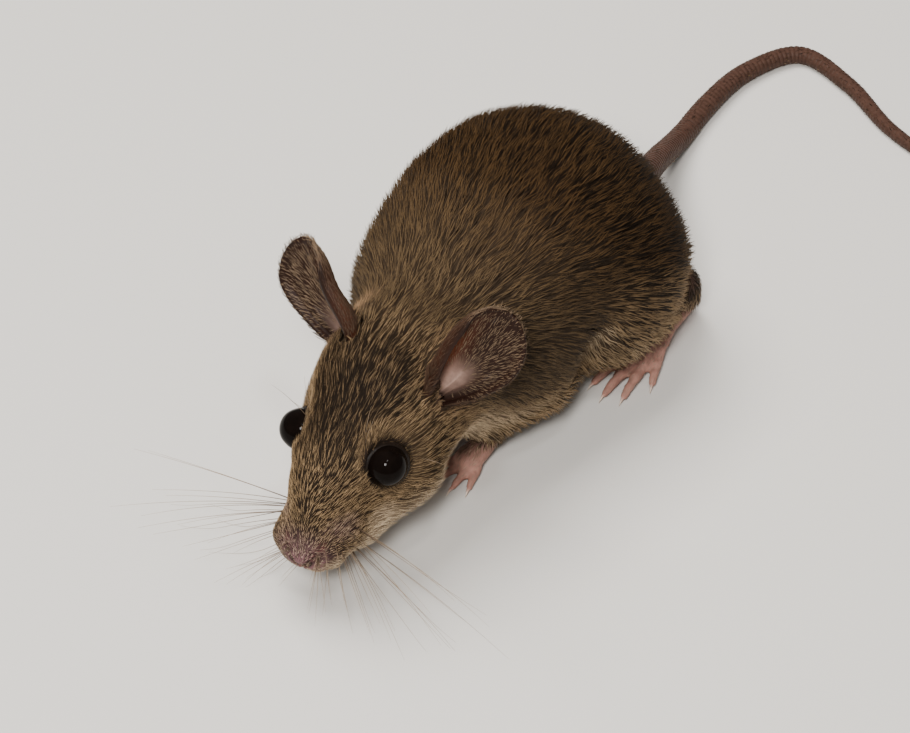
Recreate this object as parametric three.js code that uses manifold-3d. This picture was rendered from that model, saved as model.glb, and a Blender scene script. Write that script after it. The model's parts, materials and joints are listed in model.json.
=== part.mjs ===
// A house mouse, life size, crouched on a floor with its head low. Millimetres, +Z up.
// The mouse looks along -Y, its left side is +X, and the outlines take in the coat.
//
// The flesh is one field: a list of rounded masses, each a muscle or bone a hand would feel,
// that melt into each other. Each node is the part of that field inside its own cuts, so all
// the flesh nodes share one outline and are parted by thin gaps.
import * as THREE from "three";
import { mergeVertices } from "three/addons/utils/BufferGeometryUtils.js";
import Module from "manifold-3d";

const wasm = await Module();
wasm.setup();

// ---- Driving dimensions -------------------------------------------------------------------
const GAP = 0.3; // between neighbouring nodes
const DEG = Math.PI / 180;

// The head's own frame sits midway between the eyes: x to its left, y back, z up.
const EYES_AT = [2.7, -29.6, 13.4];
const HEAD_YAW = 7 * DEG; // turned to its left
const HEAD_PITCH = 26 * DEG; // nose down
const HEAD_ROLL = -3 * DEG;

const EYE_RADIUS = 1.95;
const EYE_SPREAD = 4.45; // from the midline to each eyeball's centre

const EAR_REACH = { medial: 4.8, lateral: 4.2 }; // from its midrib around to each edge
const EAR_THICKNESS = 0.7;

const TRUNK_STEP = 2.7; // sizes of the facets
const THIGH_STEP = 2.3;
const NECK_STEP = 2.3;
const HEAD_STEP = 1.6;
const LIMB_STEP = 1.5;

const FINISHES = {
  coat: { color: 0x5b4a38, roughness: 0.9, metalness: 0 },
  skin: { color: 0xb98a7c, roughness: 0.6, metalness: 0 },
  ear: { color: 0x7a5a50, roughness: 0.7, metalness: 0 },
  eye: { color: 0x050505, roughness: 0.05, metalness: 0 },
};

// ---- Masses -------------------------------------------------------------------------------
// A mass is a function of a point: negative inside, positive outside, about a millimetre each.

function ellipsoid(centre, radii, turn = [0, 0, 0]) {
  const at = new THREE.Matrix4()
    .makeRotationFromEuler(new THREE.Euler(...turn.map((d) => d * DEG), "ZXY"))
    .setPosition(...centre)
    .invert();
  const [a, b, c] = radii;
  const q = new THREE.Vector3();
  return (p) => {
    q.copy(p).applyMatrix4(at);
    const near = Math.hypot(q.x / a, q.y / b, q.z / c);
    const slope = Math.hypot(q.x / (a * a), q.y / (b * b), q.z / (c * c));
    return slope < 1e-9 ? -Math.min(a, b, c) : (near * (near - 1)) / slope;
  };
}

// A bone's flesh: a rod from a to b whose radius runs from ra to rb.
function limb(a, ra, b, rb) {
  const start = new THREE.Vector3(...a);
  const span = new THREE.Vector3(...b).sub(start);
  const q = new THREE.Vector3();
  return (p) => {
    q.copy(p).sub(start);
    const t = THREE.MathUtils.clamp(q.dot(span) / span.lengthSq(), 0, 1);
    return q.addScaledVector(span, -t).length() - (ra + (rb - ra) * t);
  };
}

// Two masses that melt together over a width k.
function melt(d, e, k) {
  const h = Math.max(k - Math.abs(d - e), 0) / k;
  return Math.min(d, e) - h * h * k * 0.25;
}

const SIDES = { left: 1, right: -1 };
const mirrored = ([x, y, z], side) => [x * side, y, z];
const bothSides = (make) => [make(1), make(-1)];

// ---- The head, in its own frame -----------------------------------------------------------
const headFrame = new THREE.Matrix4()
  .makeRotationFromEuler(new THREE.Euler(HEAD_PITCH, HEAD_ROLL, HEAD_YAW, "ZXY"))
  .setPosition(...EYES_AT);
const intoHead = headFrame.clone().invert();
const headPoint = (v) => new THREE.Vector3(...v).applyMatrix4(headFrame);

function inHead(mass) {
  const q = new THREE.Vector3();
  return (p) => mass(q.copy(p).applyMatrix4(intoHead));
}

const headMasses = [
  [ellipsoid([0, 7.6, 0.6], [5.9, 8.4, 5.7]), 3], // cranium
  [ellipsoid([0, -0.6, 0.3], [3.6, 6.4, 3.7]), 3], // brow
  [limb([0, -1.5, -1.9], 4.0, [0, -8.0, -3.6], 2.6), 3], // snout
  [ellipsoid([0, -9.5, -3.9], [1.5, 1.1, 1.2]), 1.4], // rhinarium
  ...bothSides((s) => [ellipsoid([2.1 * s, -7.3, -4.1], [2.1, 2.7, 1.9]), 1.8]), // whisker pads
  ...bothSides((s) => [ellipsoid([4.1 * s, 5.0, -4.0], [3.4, 6.8, 4.2]), 3]), // cheeks
  [ellipsoid([0, -2.0, -5.7], [4.4, 5.0, 2.8]), 2], // lips and lower jaw
  [ellipsoid([0, 4.5, -6.4], [4.2, 6.0, 3.2]), 2], // underside of the jaw
].map(([mass, k]) => [inHead(mass), k]);

// A hollow in front of and over each eye lets the eyeball stand out.
const orbits = bothSides((s) => inHead(ellipsoid([6.3 * s, -0.6, 0.8], [2.3, 2.9, 2.7])));

// ---- The body -----------------------------------------------------------------------------
const WRIST = [5.4, -12.8, 3.2];
const ELBOW = [7.2, -5.6, 6.8];
const KNEE = [9.8, 1.4, 8.8];
const HEEL = [9.0, 14.0, 3.4];

const bodyMasses = [
  [limb([2.5, -18.5, 15.6], 6.6, [1.0, -10, 14.2], 8.4), 4], // neck
  [ellipsoid([-0.3, -6, 13.4], [11.0, 12, 10.2]), 6], // rib cage
  [ellipsoid([-1.3, 1.2, 13.1], [13.0, 12, 11.0]), 6], // loin and belly
  [ellipsoid([-0.9, 6.4, 12.2], [12.0, 9.8, 10.6]), 6], // rump
  [ellipsoid([1.0, -14.5, 9.0], [5.4, 6.0, 4.8]), 4], // throat and breast
  ...bothSides((s) => [ellipsoid([6.2 * s, -8.6, 11.6], [4.4, 5.6, 6.4]), 4]), // shoulders
  ...bothSides((s) => [ellipsoid([8.6 * s, 5.4, 11.0], [5.3, 8.2, 6.4], [0, 0, 8 * s]), 3.5]), // haunches
];
const legMasses = bothSides((s) => [
  [limb(mirrored(ELBOW, s), 3.2, mirrored(WRIST, s), 1.7), 2], // forearm
  [limb(mirrored(KNEE, s), 2.9, mirrored(HEEL, s), 1.8), 2], // shank
]).flat();

const TAIL_ROOT = [-0.3, 17.6, 8.2];
const rootMass = [limb([0, 11, 10.2], 4.2, TAIL_ROOT, 2.2), 3];

const masses = [...bodyMasses, ...legMasses, rootMass, ...headMasses];
function flesh(p) {
  const whole = masses.reduce((d, [mass, k]) => melt(d, mass(p), k), 1e3);
  return orbits.reduce((d, orbit) => -melt(-d, orbit(p), 1.2), whole);
}

// ---- Surface of a field -------------------------------------------------------------------
// Surface nets: one vertex in each cell the surface crosses, one quad for each crossed edge.
// The border of the grid counts as outside, so the surface always closes.
function surfaceOf(field, low, high, step) {
  const size = low.map((v, i) => Math.ceil((high[i] - v) / step) + 1);
  const [nx, ny, nz] = size;
  const index = (i, j, k) => i + nx * (j + ny * k);
  const value = new Float64Array(nx * ny * nz);
  const p = new THREE.Vector3();
  for (let k = 0; k < nz; k++)
    for (let j = 0; j < ny; j++)
      for (let i = 0; i < nx; i++) {
        p.set(low[0] + i * step, low[1] + j * step, low[2] + k * step);
        const border = !i || !j || !k || i === nx - 1 || j === ny - 1 || k === nz - 1;
        value[index(i, j, k)] = border ? Math.max(field(p), step / 4) : field(p);
      }
  const corners = [...Array(8).keys()].map((c) => [c & 1, (c >> 1) & 1, c >> 2]);
  const edges = corners.flatMap((a, i) =>
    [1, 2, 4].filter((bit) => !(i & bit)).map((bit) => [i, i | bit]),
  );
  const vertexOf = new Map();
  const positions = [];
  for (let k = 0; k < nz - 1; k++)
    for (let j = 0; j < ny - 1; j++)
      for (let i = 0; i < nx - 1; i++) {
        const v = corners.map(([a, b, c]) => value[index(i + a, j + b, k + c)]);
        const sum = [0, 0, 0];
        let crossings = 0;
        for (const [a, b] of edges) {
          if (v[a] < 0 === v[b] < 0) continue;
          const t = v[a] / (v[a] - v[b]);
          for (let axis = 0; axis < 3; axis++)
            sum[axis] += corners[a][axis] + t * (corners[b][axis] - corners[a][axis]);
          crossings++;
        }
        if (!crossings) continue;
        vertexOf.set(index(i, j, k), positions.length / 3);
        [i, j, k].forEach((n, axis) => positions.push(low[axis] + (n + sum[axis] / crossings) * step));
      }
  const triangles = [];
  const strides = [1, nx, nx * ny];
  for (let k = 0; k < nz - 1; k++)
    for (let j = 0; j < ny - 1; j++)
      for (let i = 0; i < nx - 1; i++)
        for (let axis = 0; axis < 3; axis++) {
          const here = index(i, j, k);
          const solid = value[here] < 0;
          if (solid === value[here + strides[axis]] < 0) continue;
          const [u, w] = [strides[(axis + 1) % 3], strides[(axis + 2) % 3]];
          const quad = [here - u - w, here - w, here, here - u].map((n) => vertexOf.get(n));
          const [a, b, c, d] = solid ? quad : quad.reverse();
          triangles.push(a, b, c, a, c, d);
        }
  const geometry = new THREE.BufferGeometry();
  geometry.setAttribute("position", new THREE.Float32BufferAttribute(positions, 3));
  geometry.setIndex(triangles);
  return geometry;
}

// ---- Solids -------------------------------------------------------------------------------
function solidOf(geometry) {
  const bare = geometry.clone();
  bare.deleteAttribute("normal");
  bare.deleteAttribute("uv");
  const merged = mergeVertices(bare, 1e-4);
  return new wasm.Manifold(
    new wasm.Mesh({
      numProp: 3,
      vertProperties: merged.attributes.position.array,
      triVerts: new Uint32Array(merged.index.array),
    }),
  );
}

function geometryOf(solid) {
  const { vertProperties, triVerts } = solid.getMesh();
  const geometry = new THREE.BufferGeometry();
  geometry.setAttribute("position", new THREE.BufferAttribute(vertProperties, 3));
  geometry.setIndex(new THREE.BufferAttribute(triVerts, 1));
  return geometry;
}

// A rod from one point to another with a rounded end at each.
function rod(from, rFrom, to, rTo, sides, rounding = [0, 50, 90]) {
  const start = new THREE.Vector3(...from);
  const span = new THREE.Vector3(...to).sub(start);
  const ring = (centre, r, angle) =>
    new THREE.Vector2(r * Math.sin(angle * DEG), centre - r * Math.cos(angle * DEG));
  const profile = [
    ...rounding.map((angle) => ring(0, rFrom, angle)),
    ...rounding.map((angle) => ring(span.length(), rTo, 180 - angle)).reverse(),
  ];
  profile[0].x = 0;
  profile.at(-1).x = 0;
  const up = new THREE.Vector3(0, 1, 0);
  const turn = new THREE.Quaternion().setFromUnitVectors(up, span.normalize());
  return solidOf(new THREE.LatheGeometry(profile, sides).applyQuaternion(turn).translate(...from));
}

// ---- Cuts ---------------------------------------------------------------------------------
// A cut is a solid that a margin lets out or takes in. The node that keeps it takes it in by
// half the gap, and its neighbours leave it out with half the gap more.
function sideOf(point, outward) {
  const turn = new THREE.Quaternion().setFromUnitVectors(
    new THREE.Vector3(0, 0, 1),
    new THREE.Vector3(...outward).normalize(),
  );
  const slab = (margin) => new THREE.BoxGeometry(200, 200, 100).translate(0, 0, margin - 50);
  return (margin) => solidOf(slab(margin).applyQuaternion(turn).translate(...point));
}

function eggAt(centre, radii, turn = 0) {
  return (margin) => {
    const grown = radii.map((r) => r + margin);
    const egg = new THREE.SphereGeometry(1, 14, 10).scale(...grown).rotateZ(turn * DEG);
    return solidOf(egg.translate(...centre));
  };
}

const sleeve = (a, ra, b, rb) => (margin) => rod(a, ra + margin, b, rb + margin, 9);

const nape = headPoint([0, 14.2, 1.5]);
const headSide = sideOf(nape.toArray(), [-0.1, 1, 0.1]);
const neckSide = sideOf([0, -9.6, 14], [0, 1, 0.25]);
const loinSide = sideOf([0, 1, 14], [0, 1, 0]);
const tailSide = sideOf([0, 16.4, 10], [0, -1, 0.1]);
const thighs = bothSides((s) => {
  const egg = eggAt([11.4 * s, 4.6, 8.2], [6.0, 10.2, 8.6], 8 * s);
  const shank = sleeve(mirrored([11, 8, 5], s), 4.0, mirrored(HEEL, s), 3.0);
  return (margin) => egg(margin).add(shank(margin));
});
const forelegs = bothSides((s) => sleeve(mirrored(ELBOW, s), 4.2, mirrored(WRIST, s), 3.2));
const footRooms = bothSides((s) => {
  const [x, y] = [HEEL[0] * s, HEEL[1]];
  return sleeve([x, y, 0.6], 2.7, [x, y - 11, 0.4], 2.9);
});
const PAW_TOP = 2.9; // a level cut over the forepaws
const SOLE_TOP = 3.1; // and over the hind feet
const overPaws = sideOf([0, 0, PAW_TOP], [0, 0, -1]);
const overSoles = sideOf([0, 0, SOLE_TOP], [0, 0, -1]);
const underPaws = sideOf([0, 0, PAW_TOP], [0, 0, 1]);
const underSoles = sideOf([0, 0, SOLE_TOP], [0, 0, 1]);
const aboveFloor = sideOf([0, 0, 0], [0, 0, -1])(0);

function eyeball(side, radius) {
  const ball = new THREE.SphereGeometry(radius, 12, 8).translate(EYE_SPREAD * side, 0, 0);
  return solidOf(ball.applyMatrix4(headFrame));
}
const sockets = bothSides((s) => (margin) => eyeball(s, EYE_RADIUS + margin));

// ---- Feet ---------------------------------------------------------------------------------
// A foot's frame has the heel or wrist at the origin, toes towards -y and the floor at z = 0.
function pad(centre, radii) {
  return solidOf(new THREE.SphereGeometry(1, 8, 5).scale(...radii).translate(...centre));
}

const HIND_FOOT = {
  heel: [[0, 0, 1.8], 1.6, [0, -8, 1.35], 1.65],
  ball: [[0, -8.3, 1.0], [2.3, 2.4, 1.2]],
  toes: [
    [-1.7, -6.6, 2.6, -20],
    [-1.25, -9.5, 3.4, -7],
    [0, -9.9, 3.7, 0],
    [1.25, -9.5, 3.4, 7],
    [1.8, -7.2, 2.9, 22],
  ], // x, y, length, splay in degrees
  toeRadius: 0.6,
};
const FORE_FOOT = {
  heel: [[0, 0, 1.7], 1.45, [0, -2.2, 1.2], 1.5],
  ball: [[0, -2.0, 1.0], [1.8, 1.7, 1.15]],
  toes: [
    [-1.3, -2.6, 1.6, -22],
    [-0.5, -3.0, 2.1, -7],
    [0.5, -3.0, 2.1, 7],
    [1.3, -2.6, 1.6, 22],
  ],
  toeRadius: 0.5,
};
const CLAW_LENGTH = 0.9;
const CLAW_RADIUS = 0.3;

function footSolid({ heel, ball, toes, toeRadius }, side) {
  let foot = rod(...heel, 7).add(pad(...ball));
  for (const [x, y, length, splay] of toes) {
    const turn = splay * side * DEG;
    const reach = (d) => [x * side + Math.sin(turn) * d, y - Math.cos(turn) * d];
    const root = [...reach(-0.6), 0.95];
    const tip = [...reach(length), toeRadius * 0.9];
    foot = foot.add(rod(root, toeRadius * 1.1, tip, toeRadius * 0.85, 6, [0, 80]));
    const claw = new THREE.ConeGeometry(CLAW_RADIUS, CLAW_LENGTH + toeRadius, 4)
      .rotateZ(Math.PI + turn)
      .translate(...reach(length + CLAW_LENGTH / 2), 0.5);
    foot = foot.add(solidOf(claw));
  }
  return foot;
}

const HIND_TOE_OUT = 3; // degrees outwards
const FORE_TOE_OUT = -4;
function placedFoot(spec, at, toeOut, side) {
  const place = new THREE.Matrix4()
    .makeRotationZ(toeOut * side * DEG)
    .setPosition(at[0] * side, at[1], 0);
  return solidOf(geometryOf(footSolid(spec, side)).applyMatrix4(place)).intersect(aboveFloor);
}

// ---- Ears ---------------------------------------------------------------------------------
// An ear is a sheet curled into a cup: u runs around its curl from edge to edge, v from its
// root to its tip. Its frame has the root at the origin, the tip towards +z, and opens to -y.
// The edge next to the crown is rolled tighter than the outer one.
const EAR_ROWS = 8;
const EAR_COLUMNS = 8;
const EAR_CURL = { medial: [2.5, 1.0], lateral: [1.6, 0.3] }; // radians at the root and the tip
const EAR_BROADEST = 0.6; // how far up it is at its full breadth
const EAR_ROOT_BREADTH = 0.5; // of the full breadth
const EAR_LEAN = 0.9; // how far the tip bends back
function earPoint(u, v, { medial, length }) {
  const edge = u * medial > 0 ? "medial" : "lateral";
  const below = Math.max(EAR_BROADEST - v, 0) / EAR_BROADEST;
  const above = Math.max(v - EAR_BROADEST, 0) / (1.002 - EAR_BROADEST);
  const broad = (1 - (1 - EAR_ROOT_BREADTH) * below ** 2) * Math.sqrt(1 - above ** 2);
  const curl = THREE.MathUtils.lerp(...EAR_CURL[edge], Math.sin((v * Math.PI) / 2));
  const radius = (EAR_REACH[edge] * broad) / curl;
  const lean = EAR_LEAN * v * v;
  return new THREE.Vector3(
    radius * Math.sin(u * curl),
    lean - radius * (1 - Math.cos(u * curl)),
    length * v,
  );
}

function earGeometry(ear) {
  const across = (i) => (2 * i) / EAR_COLUMNS - 1;
  const upward = (j) => Math.sin(((j / EAR_ROWS) * Math.PI) / 2);
  const at = (i, j) => earPoint(across(i), upward(j), ear);
  const normalAt = (i, j) => {
    const du = at(Math.min(i + 1, EAR_COLUMNS), j).sub(at(Math.max(i - 1, 0), j));
    const dv = at(i, Math.min(j + 1, EAR_ROWS)).sub(at(i, Math.max(j - 1, 0)));
    return du.cross(dv).normalize();
  };
  const positions = [];
  const columns = EAR_COLUMNS + 1;
  for (const face of [0.5, -0.5])
    for (let j = 0; j <= EAR_ROWS; j++)
      for (let i = 0; i <= EAR_COLUMNS; i++)
        positions.push(...at(i, j).addScaledVector(normalAt(i, j), face * EAR_THICKNESS));
  const half = positions.length / 6;
  const triangles = [];
  const quad = (a, b, c, d) => triangles.push(a, b, c, a, c, d);
  for (let j = 0; j < EAR_ROWS; j++)
    for (let i = 0; i < EAR_COLUMNS; i++) {
      const a = j * columns + i;
      quad(a, a + 1, a + columns + 1, a + columns);
      quad(half + a, half + a + columns, half + a + columns + 1, half + a + 1);
    }
  const rim = [];
  for (let i = 0; i < EAR_COLUMNS; i++) rim.push(i);
  for (let j = 0; j < EAR_ROWS; j++) rim.push(j * columns + EAR_COLUMNS);
  for (let i = EAR_COLUMNS; i > 0; i--) rim.push(EAR_ROWS * columns + i);
  for (let j = EAR_ROWS; j > 0; j--) rim.push(j * columns);
  rim.forEach((a, n) => {
    const b = rim[(n + 1) % rim.length];
    quad(b, a, half + a, half + b);
  });
  const geometry = new THREE.BufferGeometry();
  geometry.setAttribute("position", new THREE.Float32BufferAttribute(positions, 3));
  geometry.setIndex(triangles);
  return geometry;
}

// Where each ear's root sits in the head's frame, where its tip points, where it opens, and
// which side of its own frame is next to the crown.
const EARS = {
  left: {
    root: [5.2, 7.6, -0.5],
    tip: [0.5, 0.655, 0.566],
    opens: [0.22, -0.87, 0.44],
    medial: -1,
    length: 11.2,
  },
  right: {
    root: [-3.9, 8.0, -0.3],
    tip: [-0.42, 0.44, 0.79],
    opens: [-0.01, -0.89, 0.45],
    medial: 1,
    length: 12.0,
  },
};

function earSolid(ear) {
  const up = new THREE.Vector3(...ear.tip).normalize();
  const back = new THREE.Vector3(...ear.opens).negate();
  back.addScaledVector(up, -back.dot(up)).normalize();
  const across = back.clone().cross(up);
  const frame = new THREE.Matrix4().makeBasis(across, back, up).setPosition(...ear.root);
  return solidOf(earGeometry(ear).applyMatrix4(frame.premultiply(headFrame)));
}

// ---- Tail ---------------------------------------------------------------------------------
// It drops from the rump to the floor and lies there in a long bend to the mouse's left.
const TAIL_RADIUS = [1.5, 0.45]; // root and tip
const TAIL_SIDES = 8;
const TAIL_STEPS = 33;
const TAIL_LENGTHS = 3;
const TAIL_FLAT = 0.1; // how far it sinks against the floor
const TAIL_PATH = [
  [0, 14.0, 9.2],
  [-1.0, 20.0, 7.6],
  [-3.2, 26.5, 4.6],
  [-5.2, 33.0, 1.6],
  [-6.3, 39.5, 0.6],
  [-6.2, 46.5, 0.5],
  [-3.4, 52.2, 0.4],
  [3.2, 51.4, 0.4],
  [10.3, 48.4, 0.4],
  [17.3, 47.4, 0.4],
  [23.8, 49.4, 0.3],
  [29.4, 53.4, 0.3],
];
const tailKnots = TAIL_PATH.map((v) => new THREE.Vector3(...v));
const tailCurve = new THREE.CatmullRomCurve3(tailKnots, false, "centripetal");
const tailFrames = tailCurve.computeFrenetFrames(TAIL_STEPS, false);
const tailRadius = (t) => THREE.MathUtils.lerp(...TAIL_RADIUS, t);

function tailCentre(t) {
  const centre = tailCurve.getPointAt(t);
  centre.z = Math.max(centre.z, tailRadius(t) - TAIL_FLAT);
  return centre;
}

function tailPiece(from, to) {
  const steps = Math.round((to - from) * TAIL_STEPS);
  const along = (s) => from + ((to - from) * s) / steps;
  const positions = [];
  for (let s = 0; s <= steps; s++) {
    const t = along(s);
    const n = Math.round(t * TAIL_STEPS);
    for (let a = 0; a < TAIL_SIDES; a++) {
      const angle = (2 * Math.PI * a) / TAIL_SIDES;
      const point = tailCentre(t)
        .addScaledVector(tailFrames.normals[n], Math.cos(angle) * tailRadius(t))
        .addScaledVector(tailFrames.binormals[n], Math.sin(angle) * tailRadius(t));
      positions.push(...point);
    }
  }
  const ends = [0, steps].map((s) => positions.push(...tailCentre(along(s))) / 3 - 1);
  const triangles = [];
  for (let s = 0; s < steps; s++)
    for (let a = 0; a < TAIL_SIDES; a++) {
      const b = (a + 1) % TAIL_SIDES;
      const [p, q] = [s * TAIL_SIDES, (s + 1) * TAIL_SIDES];
      triangles.push(p + a, p + b, q + b, p + a, q + b, q + a);
    }
  for (let a = 0; a < TAIL_SIDES; a++) {
    const b = (a + 1) % TAIL_SIDES;
    triangles.push(ends[0], b, a, ends[1], steps * TAIL_SIDES + a, steps * TAIL_SIDES + b);
  }
  const geometry = new THREE.BufferGeometry();
  geometry.setAttribute("position", new THREE.Float32BufferAttribute(positions, 3));
  geometry.setIndex(triangles);
  return solidOf(geometry).intersect(aboveFloor);
}

// ---- Nodes --------------------------------------------------------------------------------
const mouse = new THREE.Group();
function addNode(name, solid, finish) {
  const mesh = new THREE.Mesh(geometryOf(solid), new THREE.MeshStandardMaterial(FINISHES[finish]));
  mesh.name = name;
  mouse.add(mesh);
}
function largest(solid) {
  const pieces = solid.decompose();
  return pieces.reduce((a, b) => (b.volume() > a.volume() ? b : a));
}

// The flesh between two corners of space, inside the cuts it keeps and outside those it leaves.
function fleshNode(keep, leave, low, high, step) {
  let node = solidOf(surfaceOf(flesh, low, high, step));
  for (const cut of keep) node = node.intersect(cut(-GAP / 2));
  for (const cut of leave) node = node.subtract(cut(GAP / 2));
  return largest(node);
}

const legs = [...thighs, ...forelegs, ...footRooms];
const lengths = {
  head: [[headSide], [...sockets, ...legs], [-14, -46, -3], [16, -8, 34], HEAD_STEP],
  neck: [[neckSide], [headSide, ...legs], [-20, -38, -1], [20, -4, 36], NECK_STEP],
  trunk: [[loinSide], [neckSide, ...legs], [-20, -20, -1], [20, 10, 36], TRUNK_STEP],
  rump: [[], [loinSide, tailSide, ...legs], [-20, -3, -1], [20, 34, 36], TRUNK_STEP],
};
for (const [name, cuts] of Object.entries(lengths)) addNode(name, fleshNode(...cuts), "coat");

for (const [name, s] of Object.entries(SIDES)) {
  const n = s > 0 ? 0 : 1;
  const across = (near, far) => (s > 0 ? [near, far] : [-far, -near]);
  const [elbowIn, elbowOut] = across(0, 16);
  const [kneeIn, kneeOut] = across(2, 24);
  addNode(
    `foreleg_${name}`,
    fleshNode([forelegs[n], overPaws], thighs, [elbowIn, -24, 1], [elbowOut, 0, 16], LIMB_STEP),
    "coat",
  );
  addNode(
    `hindleg_${name}`,
    fleshNode([thighs[n], overSoles], [], [kneeIn, -4, 1], [kneeOut, 30, 26], THIGH_STEP),
    "coat",
  );
  const paw = placedFoot(FORE_FOOT, WRIST, FORE_TOE_OUT, s);
  const foot = placedFoot(HIND_FOOT, HEEL, HIND_TOE_OUT, s);
  addNode(`forefoot_${name}`, paw.intersect(underPaws(-GAP / 2)), "skin");
  addNode(`hindfoot_${name}`, foot.intersect(underSoles(-GAP / 2)), "skin");
}

// The ears stop short of the head, and the eyeballs sit in its sockets.
const spaced = (p) => flesh(p) - GAP;
const aroundHead = solidOf(surfaceOf(spaced, [-20, -46, -3], [22, 0, 40], NECK_STEP));
for (const [name, s] of Object.entries(SIDES)) {
  addNode(`ear_${name}`, largest(earSolid(EARS[name]).subtract(aroundHead)), "ear");
  addNode(`eye_${name}`, eyeball(s, EYE_RADIUS - GAP / 2), "eye");
}

const rumpFlesh = solidOf(surfaceOf(spaced, [-14, 8, -1], [14, 30, 24], LIMB_STEP));
const aroundRump = rumpFlesh.subtract(tailSide(-GAP / 2));
const tailCut = GAP / 2 / tailCurve.getLength();
["tail_root", "tail_middle", "tail_tip"].forEach((name, i) => {
  const piece = tailPiece(i / TAIL_LENGTHS + (i ? tailCut : 0), (i + 1) / TAIL_LENGTHS - tailCut);
  addNode(name, largest(i ? piece : piece.subtract(aroundRump)), "skin");
});

// The origin is on the floor, in the middle of the mouse's own box.
const box = new THREE.Box3().setFromObject(mouse);
const middle = box.getCenter(new THREE.Vector3());
mouse.position.set(-middle.x, -middle.y, 0);

export default mouse;
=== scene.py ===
# %% [markdown]
# # A house mouse, life size
# A crouching mouse with its head low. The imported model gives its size, its pose and the place
# of every part. This lesson grows one skin out of those parts, sculpts the lids, the nose,
# the ears and the feet into it, and then covers it with a coat of small solid tufts.
#
# Lengths are in millimetres while a shape is being worked on, because a mouse is small, and
# each mesh is turned into metres when it is finished.

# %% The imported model
import json
import math
from contextlib import contextmanager

import bmesh
import bpy
import numpy as np
from mathutils import Matrix, Vector

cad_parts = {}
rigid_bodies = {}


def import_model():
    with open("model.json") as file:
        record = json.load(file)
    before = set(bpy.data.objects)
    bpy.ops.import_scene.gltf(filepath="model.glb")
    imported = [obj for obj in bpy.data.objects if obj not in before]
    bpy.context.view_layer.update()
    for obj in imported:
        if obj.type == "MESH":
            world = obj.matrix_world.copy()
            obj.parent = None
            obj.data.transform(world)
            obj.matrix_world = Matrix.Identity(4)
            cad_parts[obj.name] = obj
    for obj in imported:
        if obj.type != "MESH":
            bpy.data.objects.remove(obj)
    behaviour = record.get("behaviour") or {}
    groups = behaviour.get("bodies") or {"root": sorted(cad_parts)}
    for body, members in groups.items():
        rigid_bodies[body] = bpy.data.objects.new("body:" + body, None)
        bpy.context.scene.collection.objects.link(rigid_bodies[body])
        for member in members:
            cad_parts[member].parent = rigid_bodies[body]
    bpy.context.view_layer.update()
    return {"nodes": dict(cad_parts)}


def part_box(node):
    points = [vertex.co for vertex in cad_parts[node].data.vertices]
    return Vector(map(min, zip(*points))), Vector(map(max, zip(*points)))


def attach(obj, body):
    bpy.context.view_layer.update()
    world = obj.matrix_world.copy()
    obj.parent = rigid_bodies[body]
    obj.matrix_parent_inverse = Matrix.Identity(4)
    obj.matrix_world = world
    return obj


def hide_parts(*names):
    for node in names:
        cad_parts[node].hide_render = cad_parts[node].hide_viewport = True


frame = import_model()
MM = 0.001

# %% [markdown]
# ## The head's own frame
# The head is turned and tipped, so its features are easier to place in a frame of its own:
# x to the mouse's left, y towards its nape, z up, with the origin midway between the eyes.
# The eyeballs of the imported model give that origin.

# %% Head frame
HEAD_YAW = math.radians(7)
HEAD_PITCH = math.radians(26)
HEAD_ROLL = math.radians(-3)
yaw = Matrix.Rotation(HEAD_YAW, 3, "Z")
pitch = Matrix.Rotation(HEAD_PITCH, 3, "X")
roll = Matrix.Rotation(HEAD_ROLL, 3, "Y")
HEAD_AXES = np.array(yaw @ pitch @ roll)


def middle_of(node):
    low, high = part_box(node)
    return np.array((low + high) / 2) / MM


SIDES = {"left": 1, "right": -1}
EYES = {side: middle_of("eye_" + side) for side in SIDES}
EYES_MIDDLE = (EYES["left"] + EYES["right"]) / 2
BODY_MIDDLE = middle_of("rump")[0]


def in_head(points):
    return (np.asarray(points, float) - EYES_MIDDLE) @ HEAD_AXES


def from_head(points):
    return EYES_MIDDLE + np.asarray(points, float) @ HEAD_AXES.T


print("eyes apart by", round(float(np.linalg.norm(EYES["left"] - EYES["right"])), 2), "mm")

# %% [markdown]
# ## View, floor and light
# A long lens looks down at the left side of the face from 45 degrees. A large soft box lights
# the mouse from above, and a pale world fills the shadows. Only the two small lamps, one beside
# the lens and one higher up, are mirrored in the eyes, where each gives a small bright spot.

# %% Camera
IMAGE_WIDTH = 910
FOCAL_PIXELS = 3800
SENSOR = 36
CAMERA_TURN = math.radians(38)
CAMERA_DOWN = math.radians(45)
CAMERA_FROM_EYES = np.array((150.89, -177.15, 242.56))

camera_right = Vector((math.cos(CAMERA_TURN), math.sin(CAMERA_TURN), 0))
camera_away = Vector((-math.sin(CAMERA_TURN), math.cos(CAMERA_TURN), 0))
camera_up = camera_away * math.sin(CAMERA_DOWN) + Vector((0, 0, math.cos(CAMERA_DOWN)))
camera_back = camera_right.cross(camera_up)

camera = bpy.data.objects.new("camera", bpy.data.cameras.new("camera"))
bpy.context.scene.collection.objects.link(camera)
camera.data.sensor_width = SENSOR
camera.data.lens = FOCAL_PIXELS / IMAGE_WIDTH * SENSOR
camera.data.clip_start = 0.01
camera.data.clip_end = 5
camera.matrix_world = Matrix.LocRotScale(
    Vector((EYES_MIDDLE + CAMERA_FROM_EYES) * MM),
    Matrix((camera_right, camera_up, camera_back)).transposed(),
    None,
)
bpy.context.scene.camera = camera
print("lens", round(camera.data.lens, 1), "mm")


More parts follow.
